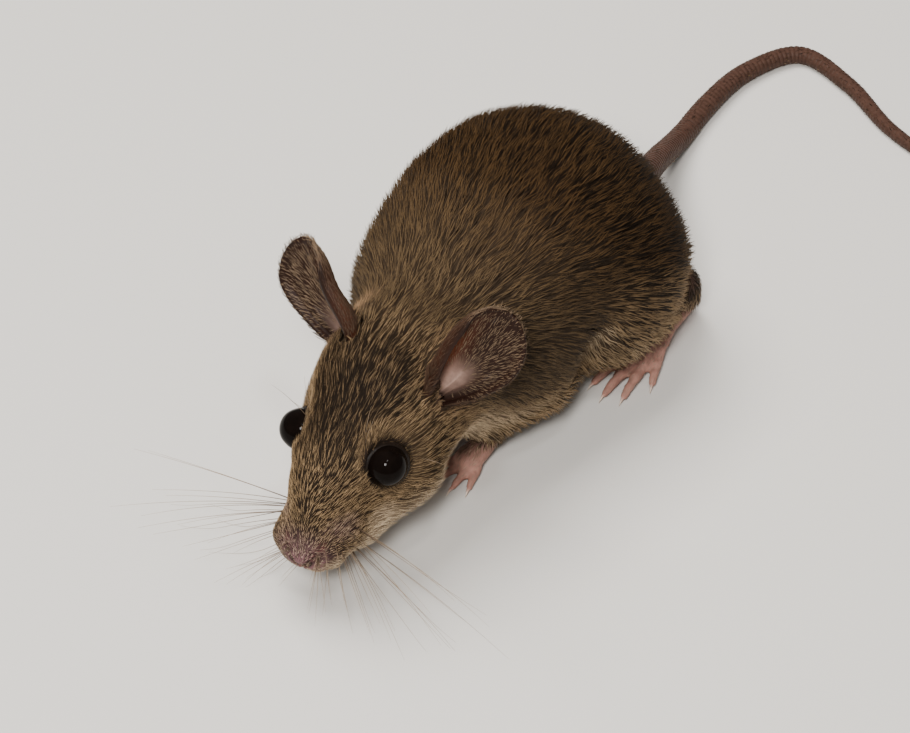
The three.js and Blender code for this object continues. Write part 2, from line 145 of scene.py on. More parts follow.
# %% Node helpers
class Nodes:
    """A node tree, with a short call for each kind of node that is used again and again."""

    def __init__(self, tree):
        self.tree = tree

    def add(self, kind, values=None, **settings):
        """A new node. A value is a number, a colour, or another node's output to link."""
        node = self.tree.nodes.new(kind)
        for name, value in settings.items():
            setattr(node, name, value)
        for socket, value in (values or {}).items():
            if isinstance(value, bpy.types.NodeSocket):
                self.tree.links.new(value, node.inputs[socket])
            else:
                node.inputs[socket].default_value = value
        return node

    def maths(self, operation, first, second=0.0, third=0.0, clamp=False):
        values = {0: first, 1: second, 2: third}
        return self.add("ShaderNodeMath", values, operation=operation, use_clamp=clamp).outputs[0]

    def vector(self, operation, first, second=(0, 0, 0)):
        return self.add("ShaderNodeVectorMath", {0: first, 1: second}, operation=operation).outputs[0]

    def scaled(self, vector, factor):
        return self.add("ShaderNodeVectorMath", {0: vector, 3: factor}, operation="SCALE").outputs[0]

    def ranged(self, value, start, end, low=0.0, high=1.0):
        """The value, taken from start to end into low to high."""
        values = {"Value": value, 1: start, 2: end, 3: low, 4: high}
        return self.add("ShaderNodeMapRange", values).outputs[0]

    def noise(self, where, scale, detail):
        values = {"Vector": where, "Scale": scale, "Detail": detail}
        return self.add("ShaderNodeTexNoise", values).outputs["Fac"]

    def blend(self, factor, first, second):
        values = {0: factor, 6: first, 7: second}
        return self.add("ShaderNodeMix", values, data_type="RGBA", blend_type="MIX").outputs[2]

    def zone(self, name):
        return self.add("ShaderNodeAttribute", attribute_name=name).outputs["Fac"]

    def layered(self, colour, layers):
        """The colour with others laid over it, each by its own share of a zone."""
        for name, share, over in layers:
            colour = self.blend(self.maths("MULTIPLY", self.zone(name), share), colour, over)
        return colour

    def object_place(self):
        return self.add("ShaderNodeTexCoord").outputs["Object"]

    def shader(self, values):
        """The shader at the end of a material."""
        surface = self.add("ShaderNodeBsdfPrincipled", values)
        self.add("ShaderNodeOutputMaterial", {"Surface": surface.outputs[0]})


def new_material(name):
    material = bpy.data.materials.new(name)
    material.use_nodes = True
    material.node_tree.nodes.clear()
    return material, Nodes(material.node_tree)


def place(name, mesh, *materials):
    """A mesh as an object at the origin."""
    piece = bpy.data.objects.new(name, mesh)
    bpy.context.scene.collection.objects.link(piece)
    mesh.materials.clear()
    for material in materials:
        mesh.materials.append(material)
    return piece


# %% Floor and lights
FLOOR_HALF = 1.5
FLOOR_SINK = 0.00005
FLOOR_COLOUR = (0.62, 0.60, 0.57, 1)
LAMP_COLOUR = (1.0, 0.97, 0.93)
LAMPS = [
    # name, offset in millimetres from between the eyes, size, power, mirrored in the eyes
    ("top_box", (-160, 40, 420), 0.3, 3.4, False),
    ("lens_box", (120, -200, 290), 0.07, 1.5, True),
    ("spark_box", (115, -73, 413), 0.035, 0.35, True),
]
WORLD = {"Color": (0.92, 0.91, 0.90, 1), "Strength": 0.28}

floor_finish, paper = new_material("studio floor")
paper.shader({"Base Color": FLOOR_COLOUR, "Roughness": 0.9})
floor_mesh = bpy.data.meshes.new("studio_floor")
corners = [(-1, -1), (1, -1), (1, 1), (-1, 1)]
floor_points = [(x * FLOOR_HALF, y * FLOOR_HALF, -FLOOR_SINK) for x, y in corners]
floor_mesh.from_pydata(floor_points, [], [(0, 1, 2, 3)])
studio_floor = place("studio_floor", floor_mesh, floor_finish)

for name, offset, size, power, mirrored_in_eyes in LAMPS:
    lamp = bpy.data.objects.new(name, bpy.data.lights.new(name, "AREA"))
    bpy.context.scene.collection.objects.link(lamp)
    lamp.data.size = size
    lamp.data.energy = power
    lamp.data.color = LAMP_COLOUR
    lamp.visible_glossy = mirrored_in_eyes
    lamp.location = Vector((EYES_MIDDLE + np.array(offset)) * MM)
    lamp.rotation_euler = lamp.location.to_track_quat("Z", "Y").to_euler()

world = bpy.data.worlds.new("studio")
bpy.context.scene.world = world
world.use_nodes = True
for socket, value in WORLD.items():
    world.node_tree.nodes["Background"].inputs[socket].default_value = value
print("lamps:", len(LAMPS))

# %% [markdown]
# ## Mesh helpers
# A mesh of a hundred thousand points is handled as arrays: its points, its normals and its
# edges. Most of the sculpting below moves each point by some function of where it is.


# %% Arrays of a mesh
def read(items, name, columns, kind=np.float32):
    """One row of numbers for each item, such as each point of a mesh."""
    flat = np.empty(len(items) * columns, kind)
    items.foreach_get(name, flat)
    return flat.reshape(-1, columns)


def points_of(mesh):
    return read(mesh.vertices, "co", 3).astype(float)


def normals_of(mesh):
    return read(mesh.vertex_normals, "vector", 3).astype(float)


def edges_of(mesh):
    return read(mesh.edges, "vertices", 2, np.int32)


def numbers_of(mesh, name):
    return read(mesh.attributes[name].data, "value", 1)[:, 0]


def vectors_of(mesh, name):
    return read(mesh.attributes[name].data, "vector", 3).astype(float)


def store(mesh, name, values):
    """Writes one number or one vector for each point."""
    values = np.asarray(values, np.float32)
    kind, key = ("FLOAT", "value") if values.ndim == 1 else ("FLOAT_VECTOR", "vector")
    mesh.attributes.new(name, kind, "POINT").data.foreach_set(key, values.ravel())


def set_points(mesh, points):
    mesh.vertices.foreach_set("co", points.astype(np.float32).ravel())
    mesh.update()


def triangles_of(mesh):
    return sum(len(face.vertices) - 2 for face in mesh.polygons)


def ramp(x, low, high):
    """0 up to low, 1 from high on, and a smooth step between them."""
    t = np.clip((x - low) / (high - low), 0, 1)
    return t * t * (3 - 2 * t)


def bell(gap, width):
    """1 where there is no gap, falling to nothing within about twice the width."""
    return np.exp(-((gap / width) ** 2))


def unit(vectors):
    """Each vector at a length of 1, or as it is where it has none."""
    return vectors / np.linalg.norm(vectors, axis=-1, keepdims=True).clip(1e-9)


def nearest_of(places, wanted):
    """The one of some places that is nearest to the wanted one."""
    return places[np.linalg.norm(places - wanted, axis=1).argmin()]


def evened(values, edges, weight, rounds):
    """Each point's value moves towards the mean of its neighbours' by its weight."""
    values = np.array(values, float).reshape(len(values), -1)
    weight = np.broadcast_to(np.asarray(weight, float), len(values))[:, None]
    a, b = edges.T
    count = np.bincount(edges.ravel(), minlength=len(values)).clip(1)[:, None]
    for _ in range(rounds):
        total = np.stack(
            [
                np.bincount(a, column[b], len(values)) + np.bincount(b, column[a], len(values))
                for column in values.T
            ],
            1,
        )
        values += weight * (total / count - values)
    return values


# %% Making and changing meshes
@contextmanager
def editing(mesh):
    """Opens a mesh to be cut and added to, and writes it back at the end."""
    work = bmesh.new()
    work.from_mesh(mesh)
    yield work
    work.to_mesh(mesh)
    work.free()


def add_ball(work, centre, radius, subdivisions=3):
    at = Matrix.Translation(centre)
    bmesh.ops.create_icosphere(work, subdivisions=subdivisions, radius=radius, matrix=at)


def turned_out(mesh):
    """The same closed mesh with its faces pointing outwards."""
    with editing(mesh) as work:
        bmesh.ops.recalc_face_normals(work, faces=work.faces)
    return mesh


def result_of(piece):
    """The mesh that a piece's modifiers make, with the piece itself removed."""
    evaluated = piece.evaluated_get(bpy.context.evaluated_depsgraph_get())
    mesh = bpy.data.meshes.new_from_object(evaluated)
    bpy.data.objects.remove(piece)
    return mesh


def remeshed(mesh, voxel):
    piece = place("remesh", mesh)
    modifier = piece.modifiers.new("remesh", "REMESH")
    modifier.mode = "VOXEL"
    modifier.voxel_size = voxel
    return result_of(piece)


def tubes(name, lines, sides, floor=None):
    """Closed tubes round lines of points, each with its own radii."""
    loops, faces, start = [], [], 0
    angle = np.linspace(0, 2 * math.pi, sides, endpoint=False)
    for centre, radius in lines:
        ahead = unit(np.gradient(centre, axis=0))
        aside = unit(np.cross(ahead, (0, 0, 1)))
        above = np.cross(aside, ahead)
        spoke = np.cos(angle)[:, None] * aside[:, None] + np.sin(angle)[:, None] * above[:, None]
        loops.append((centre[:, None] + radius[:, None, None] * spoke).reshape(-1, 3))
        index = start + np.arange(len(centre) * sides).reshape(-1, sides)
        start += index.size
        beside = np.roll(index, -1, axis=1)
        walls = np.stack((index[1:], beside[1:], beside[:-1], index[:-1]), -1).reshape(-1, 4)
        faces += [*walls.tolist(), index[0].tolist(), index[-1, ::-1].tolist()]
    points = np.concatenate(loops)
    if floor is not None:
        points[:, 2] = points[:, 2].clip(floor)
    mesh = bpy.data.meshes.new(name)
    mesh.from_pydata(points, [], faces)
    return mesh


def place_smooth(name, mesh, material):
    """A finished piece with soft shading, turned from millimetres into metres."""
    set_points(mesh, points_of(mesh) * MM)
    mesh.polygons.foreach_set("use_smooth", [True] * len(mesh.polygons))
    return place(name, mesh, material)


def place_tubes(name, lines, sides, material, floor=None):
    """The same for tubes, with each point's share of the way along its line stored."""
    mesh = tubes(name, lines, sides, floor)
    shares = [np.repeat(np.linspace(0, 1, len(centre)), sides) for centre, _ in lines]
    store(mesh, "along", np.concatenate(shares))
    return place_smooth(name, mesh, material)


# %% [markdown]
# ## The body under the coat
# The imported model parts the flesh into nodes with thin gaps. A voxel remesh of all of them,
# each let out a little first, gives one closed surface with no gap. It is smoothed until the
# facets are gone and drawn in by the depth of the coat, which is deepest on the back and
# almost nothing on the muzzle.

# %% One surface from the flesh nodes
FLESH = ["head", "neck", "trunk", "rump"]
FLESH += [leg + "_" + side for leg in ("foreleg", "hindleg") for side in SIDES]
LET_OUT = 0.35
BODY_VOXEL = 0.4
EYE_RADIUS = 1.95
PLUG_RADIUS = 1.6
SAME_POINT = 1e-7


def flesh_mesh():
    """The nodes of flesh, let out, with a ball to fill the socket of each eye."""
    flesh = bpy.data.meshes.new("flesh")
    with editing(flesh) as work:
        for node in FLESH:
            part = bpy.data.meshes.new(node)
            with editing(part) as loose:
                loose.from_mesh(frame["nodes"][node].data)
                bmesh.ops.remove_doubles(loose, verts=loose.verts, dist=SAME_POINT)
            set_points(part, points_of(part) / MM + normals_of(part) * LET_OUT)
            work.from_mesh(part)
        for centre in EYES.values():
            add_ball(work, centre, PLUG_RADIUS)
    return flesh


body = remeshed(flesh_mesh(), BODY_VOXEL)
print("body:", len(body.vertices), "points")

# %% Smooth it and draw it in
COAT_STATIONS = [-10, -7, -2, 4, 9, 16, 24]
COAT_DEPTH = [0.12, 0.22, 0.5, 0.75, 1.1, 1.8, 2.1]
LEG_DEPTH = 0.35
BELLY_THINNING = 0.45
LEG_TOP = 7.0
LEG_FOOT = 2.5
SMOOTH_ROUNDS = 36


def along_head(points):
    """How far back a point is, in the head's frame."""
    return in_head(points)[:, 1]


def leg_share(points):
    """1 on the body, falling to 0 where a leg meets its foot, and 1 under the belly."""
    outward = ramp(np.abs(points[:, 0] - BODY_MIDDLE), 4.0, 6.5)
    low = 1 - ramp(points[:, 2], LEG_FOOT, LEG_TOP)
    behind = ramp(along_head(points), 6, 9)
    return 1 - outward * low * behind


def coat_depth(points):
    """The coat's depth by how far back a point is, less under the belly and on the legs."""
    depth = np.interp(along_head(points), COAT_STATIONS, COAT_DEPTH)
    under = 1 - BELLY_THINNING * (1 - ramp(points[:, 2], 2, 8)) * ramp(along_head(points), 6, 12)
    return depth * under * (LEG_DEPTH + (1 - LEG_DEPTH) * leg_share(points))


points = points_of(body)
edges = edges_of(body)
on_head = 1 - ramp(along_head(points), 6, 14)
points = evened(points, edges, 0.5 * (1 - 0.75 * on_head), SMOOTH_ROUNDS)
set_points(body, points)
points = points - normals_of(body) * (LET_OUT + coat_depth(points))[:, None]
points = evened(points, edges, 0.5, 3)
set_points(body, points)
print("body without its coat:", np.round(points.min(0), 1), np.round(points.max(0), 1))

# %% [markdown]
# ## Face
# The face needs far more points than the back. Faces in front of the ears are divided once,
# and those round the nose and the eyes twice.
#
# The lids are sculpted as a height over each eyeball's centre: inside the opening the skin
# drops behind the eyeball, at its edge it stands just over the ball as a thin rim, and further
# out it runs back into the face.

# %% Finer faces where the face is
NOSE_TIP = (0, -10.2, -3.9)
FINE_BEFORE = 3.2
FINER_ROUND_NOSE = 3.2
FINER_ROUND_EYE = 2.9


def divide(mesh, chosen):
    """Divides the faces between chosen points."""
    with editing(mesh) as work:
        inside = [edge for edge in work.edges if all(chosen[end.index] for end in edge.verts)]
        bmesh.ops.subdivide_edges(work, edges=inside, cuts=1, use_grid_fill=True)
        bmesh.ops.triangulate(work, faces=[face for face in work.faces if len(face.verts) > 4])


def from_eyes(points):
    """How far each point is from the middle of the nearer eyeball."""
    return np.minimum(*[np.linalg.norm(points - centre, axis=1) for centre in EYES.values()])


divide(body, along_head(points_of(body)) < FINE_BEFORE)
points = points_of(body)
near_nose = np.linalg.norm(in_head(points) - NOSE_TIP, axis=1) < FINER_ROUND_NOSE
divide(body, near_nose | (from_eyes(points) < FINER_ROUND_EYE))
points = points_of(body)
points = evened(points, edges_of(body), 0.5 * (1 - ramp(along_head(points), 2, 4)), 2)
print("body with a fine face:", len(points), "points")

# %% Lids
GAZE = np.array((0.72, -0.30, 0.62))
CANTHUS_AT = np.array((0, -0.9, -0.45))
CANTHUS = 13
LID_OPEN = 79
LID_RIM = 0.04
LID_DROP = 0.4
LID_SWELLING = 0.12
LID_REACH = 6


def gaze_of(side):
    return unit(GAZE * (SIDES[side], 1, 1))


def lid_profile(points, side):
    """For each point its direction and distance from the eyeball's centre, and the angle in
    degrees by which it lies outside the lids' opening, which is longer at its front corner."""
    gaze = gaze_of(side)
    away = in_head(points) - in_head(EYES[side])
    distance = np.linalg.norm(away, axis=1)
    direction = away / distance[:, None]
    angle = np.degrees(np.arccos(np.clip(direction @ gaze, -1, 1)))
    front = unit(CANTHUS_AT - gaze * (gaze @ CANTHUS_AT))
    flat = unit(direction - np.outer(direction @ gaze, gaze))
    corner = CANTHUS * np.clip(flat @ front, 0, 1) ** 10
    return direction, distance, angle - LID_OPEN - corner


def with_lids(points):
    for side, centre in EYES.items():
        direction, distance, outside = lid_profile(points, side)
        rim = EYE_RADIUS - LID_DROP + (LID_DROP + LID_RIM) * ramp(outside, -9, 0)
        rim = rim + LID_SWELLING * ramp(outside, 1, 12)
        far = np.maximum(ramp(outside, 8, 34), ramp(distance, EYE_RADIUS + 0.5, EYE_RADIUS + 1.7))
        shaped = rim * (1 - far) + np.maximum(distance, rim) * far
        moved = centre + (direction * shaped[:, None]) @ HEAD_AXES.T
        points = np.where((distance < LID_REACH)[:, None], moved, points)
    return points


points = with_lids(points)
set_points(body, points)
print("lids open by", 2 * LID_OPEN, "degrees")

# %% [markdown]
# ## Nose and mouth
# A mouse's nose is a small bare pad with two comma-shaped nostrils that open sideways, and a
# groove that runs down to a cleft lip. Each feature is a soft dent or swelling along a short
# path in the head's frame, so the two sides come from one list. This mouse sniffs to its
# right, so its lips and the pads over them are drawn that way first.

# %% Dents and swellings
SNOUT_TURN = 0.75
FACE_RELIEF = [
    # path on the left side in the head's frame, width, depth
    ([(0, -10.3, -3.4), (0, -10.4, -4.3)], 0.75, -0.2),  # nose pad
    ([(0.85, -10.1, -3.3), (0.95, -9.9, -4.4)], 0.5, -0.22),  # wing of the nose
    ([(0, -9.2, -2.6), (1.5, -9.3, -2.9), (1.9, -9.2, -4.6)], 0.5, 0.3),  # edge of the nose pad
    ([(0, -10.6, -3.6), (0, -10.5, -5.2)], 0.2, 0.16),  # groove under the nose
    ([(0, -9.9, -5.4), (1.0, -9.0, -6.1), (2.3, -6.8, -6.4), (3.3, -4.2, -6.2)], 0.28, 0.4),  # mouth
    ([(0, -6.9, -6.9), (0.8, -6.4, -6.8)], 0.9, -0.35),  # lower lip
    ([(1.9, -7.8, -4.4), (2.5, -6.4, -4.4)], 1.5, -0.5),  # whisker pad
    ([(1.5, -9.5, -4.4), (1.9, -8.9, -4.9)], 0.8, -0.45),  # front of the whisker pad
    ([(3.3, -4.6, -5.6), (4.6, -1.6, -5.9), (5.8, 1.4, -6.0)], 1.5, -0.55),  # edge of the jaw
    ([(5.6, -0.8, -5.0), (6.6, 1.6, -5.0)], 1.6, -0.55),  # lower cheek
    ([(3.4, -7.2, -5.4), (3.2, -6.0, -5.2)], 0.8, 0.4),  # corner of the mouth
    ([(1.35, -9.5, -3.3), (1.7, -8.6, -3.0)], 0.4, 0.12),  # crease over the pad
    ([(3.0, -2.0, 1.2), (2.9, 1.2, 2.9)], 0.9, -0.4),  # brow
    ([(5.4, 1.2, -1.8), (5.6, 4.0, -2.4)], 1.6, -0.2),  # cheek
]
NOSTRIL = [(0.5, -10.4, -3.7), (0.9, -10.0, -3.3), (1.25, -9.5, -3.4)]
NOSTRIL_WIDTH = 0.24
NOSTRIL_DEPTH = 0.45


def near_path(head, path, width):
    """1 on a path in the head's frame, falling to nothing within about twice the width."""
    nearest = np.full(len(head), np.inf)
    path = np.array(path, float)
    for start, end in zip(path[:-1], path[1:]):
        span = end - start
        t = np.clip((head - start) @ span / (span @ span), 0, 1)
        gap = np.linalg.norm(head - start - t[:, None] * span, axis=1)
        nearest = np.minimum(nearest, gap)
    return bell(nearest, width)


def press(points, normals, path, width, depth):
    """Moves points near a path inwards by up to depth, or outwards where depth is negative."""
    return points - normals * (depth * near_path(in_head(points), path, width))[:, None]


def turned_snout(points):
    x, y, z = in_head(points).T
    share = ramp(-y, 5.5, 9) * ramp(-z, 1.4, 4.4)
    return points - np.outer(SNOUT_TURN * share, HEAD_AXES[:, 0])


def on_side(path, side):
    return [(x * SIDES[side], y, z) for x, y, z in path]


points = turned_snout(points)
set_points(body, points)
for path, width, depth in FACE_RELIEF:
    normals = normals_of(body)
    for side in SIDES:
        points = press(points, normals, on_side(path, side), width, depth)
    set_points(body, points)

head = in_head(points)
normals = normals_of(body)
nostrils_on = {side: [nearest_of(head, spot) for spot in on_side(NOSTRIL, side)] for side in SIDES}
for path in nostrils_on.values():
    points = press(points, normals, path, NOSTRIL_WIDTH, NOSTRIL_DEPTH)
set_points(body, points)
print("face relief:", len(FACE_RELIEF) + 1, "features a side")

# %% [markdown]
# ## Ears
# An ear is a thin sheet curled into a cup, with the edge beside the crown rolled tighter than
# the outer one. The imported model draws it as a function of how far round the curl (u, from -1
# to 1) and how far up the ear (v, from 0 to 1) a point lies. The same function is used here on
# a fine grid, with a thinner sheet, a thickened rim and the soft folds of gristle inside.

# %% Shape of an ear
EAR_REACH = {"medial": 4.8, "lateral": 4.2}
EAR_CURL = {"medial": 1.0, "lateral": 0.3}
EAR_ROLL = {"medial": 1.9, "lateral": 0.35}
EAR_LATERAL_CURL = 1.6
EAR_BROADEST = 0.6
EAR_LEAN = 0.9
EAR_COLUMNS = 52
EAR_ROWS = 46
EAR_BURIED = 0.1
EARS = {
    "left": {
        "root": (5.2, 7.6, -0.5),
        "tip": (0.5, 0.655, 0.566),
        "opens": (0.22, -0.87, 0.44),
        "medial": -1,
        "length": 11.2,
        "root_breadth": {"medial": 0.6, "lateral": 0.3},
        "root_power": {"medial": 2, "lateral": 1.5},
        "curl": 2.5,
        "bow": 0,
    },
    "right": {
        "root": (-3.9, 8.0, -0.3),
        "tip": (-0.42, 0.44, 0.79),
        "opens": (-0.01, -0.89, 0.45),
        "medial": 1,
        "length": 12.0,
        "root_breadth": {"medial": 0.8, "lateral": 0.2},
        "root_power": {"medial": 2, "lateral": 2},
        "curl": 2.7,
        "bow": 1.6,
    },
}


def ear_frame(ear):
    """Columns across, back and up of an ear's own frame, in the head's."""
    up = unit(np.array(ear["tip"]))
    back = -np.array(ear["opens"])
    back = unit(back - up * (back @ up))
    return np.stack((np.cross(back, up), back, up), 1)


def centred_sum(steps):
    """A running sum along each row, counted from the row's middle."""
    total = np.cumsum((steps[:, 1:] + steps[:, :-1]) / 2, axis=1)
    total = np.concatenate((np.zeros((len(steps), 1)), total), axis=1)
    return total - total[:, total.shape[1] // 2][:, None]


def ear_sheet(ear, u, v):
    """The middle of the sheet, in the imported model's frame."""
    inner = u * ear["medial"] > 0
    below = np.maximum(EAR_BROADEST - v, 0) / EAR_BROADEST
    above = np.maximum(v - EAR_BROADEST, 0) / (1.002 - EAR_BROADEST)
    root_breadth = np.where(inner, *ear["root_breadth"].values())
    root_power = np.where(inner, *ear["root_power"].values())
    broad = (1 - (1 - root_breadth) * below**root_power) * np.sqrt(1 - above**2)
    rising = np.sin(v * math.pi / 2)
    starts = (ear["curl"], EAR_LATERAL_CURL)
    curls = [start + (end - start) * rising for start, end in zip(starts, EAR_CURL.values())]
    rolled = np.where(inner, *EAR_ROLL.values()) * ramp(v, -0.05, 0.15) * (1 - ramp(v, 0.7, 1))
    angle = np.abs(u) * np.where(inner, *curls) + rolled * ramp(np.abs(u), 0.62, 1.0)
    step = np.where(inner, *EAR_REACH.values()) * broad * (u[0, 1] - u[0, 0])
    bowed = ear["bow"] * ramp(v, -0.1, 0.2) * (1 - ramp(v, 0.3, 0.75))
    aside = centred_sum(np.cos(angle) * step) + bowed
    inward = centred_sum(np.sin(angle) * np.sign(u) * step)
    local = np.stack((aside, EAR_LEAN * v * v - inward, ear["length"] * v), -1)
    return from_head(np.array(ear["root"]) + local @ ear_frame(ear).T)


# %% Folds and thickness of an ear
EAR_HALF = 0.2
EAR_RIM_HALF = 0.09
EAR_EDGE_BREADTH = 4.5
EAR_FOLDS = [
    # from (round, up) to (round, up) with round counted towards the outer edge, height, width
    ((-0.05, 0.1), (0.3, 0.55), 0.4, 0.2),
    ((0.05, 0.3), (-0.15, 0.8), 0.3, 0.12),
    ((0.45, 0.08), (0.62, 0.4), 0.45, 0.1),
    ((-0.5, 0.15), (-0.55, 0.6), 0.25, 0.12),
]
EAR_RIPPLES = 9
EAR_RIPPLE_HEIGHT = 0.04


def ear_relief(ear, u, v):
    """How far the inside stands proud of the sheet."""
    outer = -u * ear["medial"]
    ripples = np.sin(outer * EAR_RIPPLES * math.pi / 2 + v * 2)
    relief = EAR_RIPPLE_HEIGHT * ripples * ramp(v, 0.25, 0.55)
    for (u0, v0), (u1, v1), height, width in EAR_FOLDS:
        span = np.array((u1 - u0, v1 - v0))
        t = np.clip(((outer - u0) * span[0] + (v - v0) * span[1]) / (span @ span), 0, 1)
        gap = np.hypot(outer - u0 - t * span[0], v - v0 - t * span[1])
        relief += height * bell(gap, width)
    return relief


def ear_mesh(side):
    """Two copies of the sheet, an inside and an outside, closed by a strip round the rim."""
    ear = EARS[side]
    rises = np.sin(np.linspace(-EAR_BURIED, math.pi / 2, EAR_ROWS + 1))
    u, v = np.meshgrid(np.linspace(-1, 1, EAR_COLUMNS + 1), rises)
    sheet = ear_sheet(ear, u, v)
    facing = unit(np.cross(np.gradient(sheet, axis=1), np.gradient(sheet, axis=0)))
    to_edge = np.minimum((1 - np.abs(u)) * EAR_EDGE_BREADTH, (1 - v) * ear["length"])
    half = EAR_RIM_HALF + (EAR_HALF - EAR_RIM_HALF) * ramp(to_edge, 0.0, 1.6)
    half = half + 0.09 * bell(to_edge - 0.35, 0.25)
    relief = ear_relief(ear, u, v) * ramp(to_edge, 0.1, 1.0)
    inside = half + relief
    outside = half - 0.5 * relief * ramp(v, 0.1, 0.3)
    layers = [sheet + facing * inside[..., None], sheet - facing * outside[..., None]]
    rows, columns = u.shape
    index = np.arange(rows * columns).reshape(rows, columns)
    front = np.stack((index[:-1, :-1], index[:-1, 1:], index[1:, 1:], index[1:, :-1]), -1).reshape(-1, 4)
    back = front[:, ::-1] + rows * columns
    rim = np.concatenate((index[0, :-1], index[:-1, -1], index[-1, :0:-1], index[:0:-1, 0]))
    after = np.roll(rim, -1)
    edge = np.stack((after, rim, rim + rows * columns, after + rows * columns), -1)
    mesh = bpy.data.meshes.new("ear_" + side)
    mesh.from_pydata(np.concatenate(layers).reshape(-1, 3), [], np.concatenate((front, back, edge)))
    store(mesh, "ear_up", np.tile(v.ravel(), 2))
    store(mesh, "ear_outer", np.tile(-u.ravel() * ear["medial"], 2))
    store(mesh, "ear_inside", np.repeat((1, -1), rows * columns))
    return mesh


ears = {side: ear_mesh(side) for side in SIDES}
print("ears:", [len(mesh.vertices) for mesh in ears.values()], "points")

# %% [markdown]
# ## Feet
# A mouse walks on the balls of its hind feet and rests on the whole sole: a long narrow heel,
# a broad ball with small round pads under it and five thin jointed toes. The forefoot is short,
# with four toes and a thumb that is only a knob. Rods and balls set the bones, knuckles and
# pads, a fine voxel remesh melts them together, and the parts under the floor are pressed flat.

# %% Bones of a foot
# A foot's own frame has the heel or wrist at the origin, toes towards -y and the floor at z = 0.
# The places of the feet and the tail count from the point between the eyes that MODEL_EYES gives.
MODEL_EYES = np.array((2.7, -29.6, 13.4))
SHIFT = EYES_MIDDLE - MODEL_EYES
FEET = {
    "hindfoot": {
        "at": (9.0, 14.0),
        "toe_out": 3,
        "rods": [
            # start, radius there, end, radius there
            ((0, 0, 1.8), 1.25, (0, -8, 1.3), 1.35),
            ((0, 0.2, 2.0), 1.3, (0.3, -1.6, 5.6), 1.9),
        ],
        "pads": [
            (-1.2, -7.0),
            (1.2, -7.4),
            (-0.6, -8.9),
            (0.7, -9.0),
            (-0.9, -5.0),
            (0.9, -4.6),
            (0, -0.2),
        ],
        "toes": [
            # root x, root y, length, splay in degrees
            (-1.7, -6.6, 2.6, -20),
            (-1.25, -9.5, 3.4, -7),
            (0, -9.9, 3.7, 0),
            (1.25, -9.5, 3.4, 7),
            (1.8, -7.2, 2.9, 22),
        ],
        "toe_radius": 0.52,
        "back": -3.0,
    },
    "forefoot": {
        "at": (5.4, -12.8),
        "toe_out": -4,
        "rods": [
            ((0, 0, 1.7), 1.15, (0, -2.2, 1.15), 1.3),
            ((0, 0, 1.9), 1.1, (0.5, 1.8, 4.2), 1.3),
            ((-1.0, -0.9, 1.2), 0.55, (-1.5, -1.6, 0.8), 0.35),  # thumb
        ],
        "pads": [(-0.9, -2.2), (0.9, -2.2), (-0.35, -2.9), (0.4, -2.9), (0, -0.6)],
        "toes": [
            (-1.3, -2.6, 1.6, -22),
            (-0.5, -3.0, 2.1, -7),
            (0.5, -3.0, 2.1, 7),
            (1.3, -2.6, 1.6, 22),
        ],
        "toe_radius": 0.43,
        "back": -0.4,
    },
}
PAD_RADIUS = 0.55
PAD_HIGH = 0.44
SOLE_HIGH = 1.7
FOOT_VOXEL = 0.2
# Share of the toe's length, height and radius, both in radii of the toe
KNUCKLES = [(-0.6, 1.05, 1.05), (0.3, 1.12, 1.0), (0.66, 1.0, 0.85), (1.0, 0.8, 0.78)]


def add_rod(work, start, start_radius, end, end_radius):
    """A tapered rod with a ball at each end."""
    start, end = Vector(start), Vector(end)
    span = end - start
    turn = span.to_track_quat("Z", "Y").to_matrix().to_4x4()
    bmesh.ops.create_cone(
        work,
        cap_ends=True,
        segments=14,
        radius1=start_radius,
        radius2=end_radius,
        depth=span.length,
        matrix=Matrix.Translation((start + end) / 2) @ turn,
    )
    add_ball(work, start, start_radius)
    add_ball(work, end, end_radius)


def toe_line(toe, side):
    """The toe's own direction, and its joints as (place on the floor, height)."""
    x, y, length, splay = toe
    turn = math.radians(splay) * SIDES[side]
    forward = np.array((math.sin(turn), -math.cos(turn)))
    root = np.array((x * SIDES[side], y))
    reaches = [share * length if share > 0 else share for share, _, _ in KNUCKLES]
    heights = [high for _, high, _ in KNUCKLES]
    return forward, [(root + forward * reach, high) for reach, high in zip(reaches, heights)]


def foot_place(kind, side):
    x, y = FEET[kind]["at"]
    at = Vector((x * SIDES[side] + SHIFT[0], y + SHIFT[1], 0))
    toe_out = math.radians(FEET[kind]["toe_out"]) * SIDES[side]
    return Matrix.Translation(at) @ Matrix.Rotation(toe_out, 4, "Z")


def add_toe(work, toe, kind, side):
    """A rod along the sole to the toe's root, and one for each length of the toe."""
    radius = FEET[kind]["toe_radius"]
    _, joints = toe_line(toe, side)
    sole_back = (toe[0] * SIDES[side] * 0.45, FEET[kind]["back"], SOLE_HIGH)
    knuckle = (*joints[0][0], joints[0][1] + 0.25)
    add_rod(work, sole_back, radius * 0.9, knuckle, radius * 1.05)
    sizes = [size * radius for _, _, size in KNUCKLES]
    for (a, za), ra, (b, zb), rb in zip(joints, sizes, joints[1:], sizes[1:]):
        add_rod(work, (*a, za * radius * 1.7), ra, (*b, zb * radius * 1.3), rb)


def foot_mesh(kind, side):
    sign = SIDES[side]
    mesh = bpy.data.meshes.new(kind)
    with editing(mesh) as work:
        for start, start_radius, end, end_radius in FEET[kind]["rods"]:
            ends = on_side((start, end), side)
            add_rod(work, ends[0], start_radius, ends[1], end_radius)
        for x, y in FEET[kind]["pads"]:
            add_ball(work, (x * sign, y, PAD_HIGH), PAD_RADIUS)
        for toe in FEET[kind]["toes"]:
            add_toe(work, toe, kind, side)
    mesh = remeshed(mesh, FOOT_VOXEL)
    points = evened(points_of(mesh), edges_of(mesh), 0.5, 4)
    points[:, 2] = points[:, 2].clip(0)
    set_points(mesh, points)
    mesh.transform(foot_place(kind, side))
    return mesh


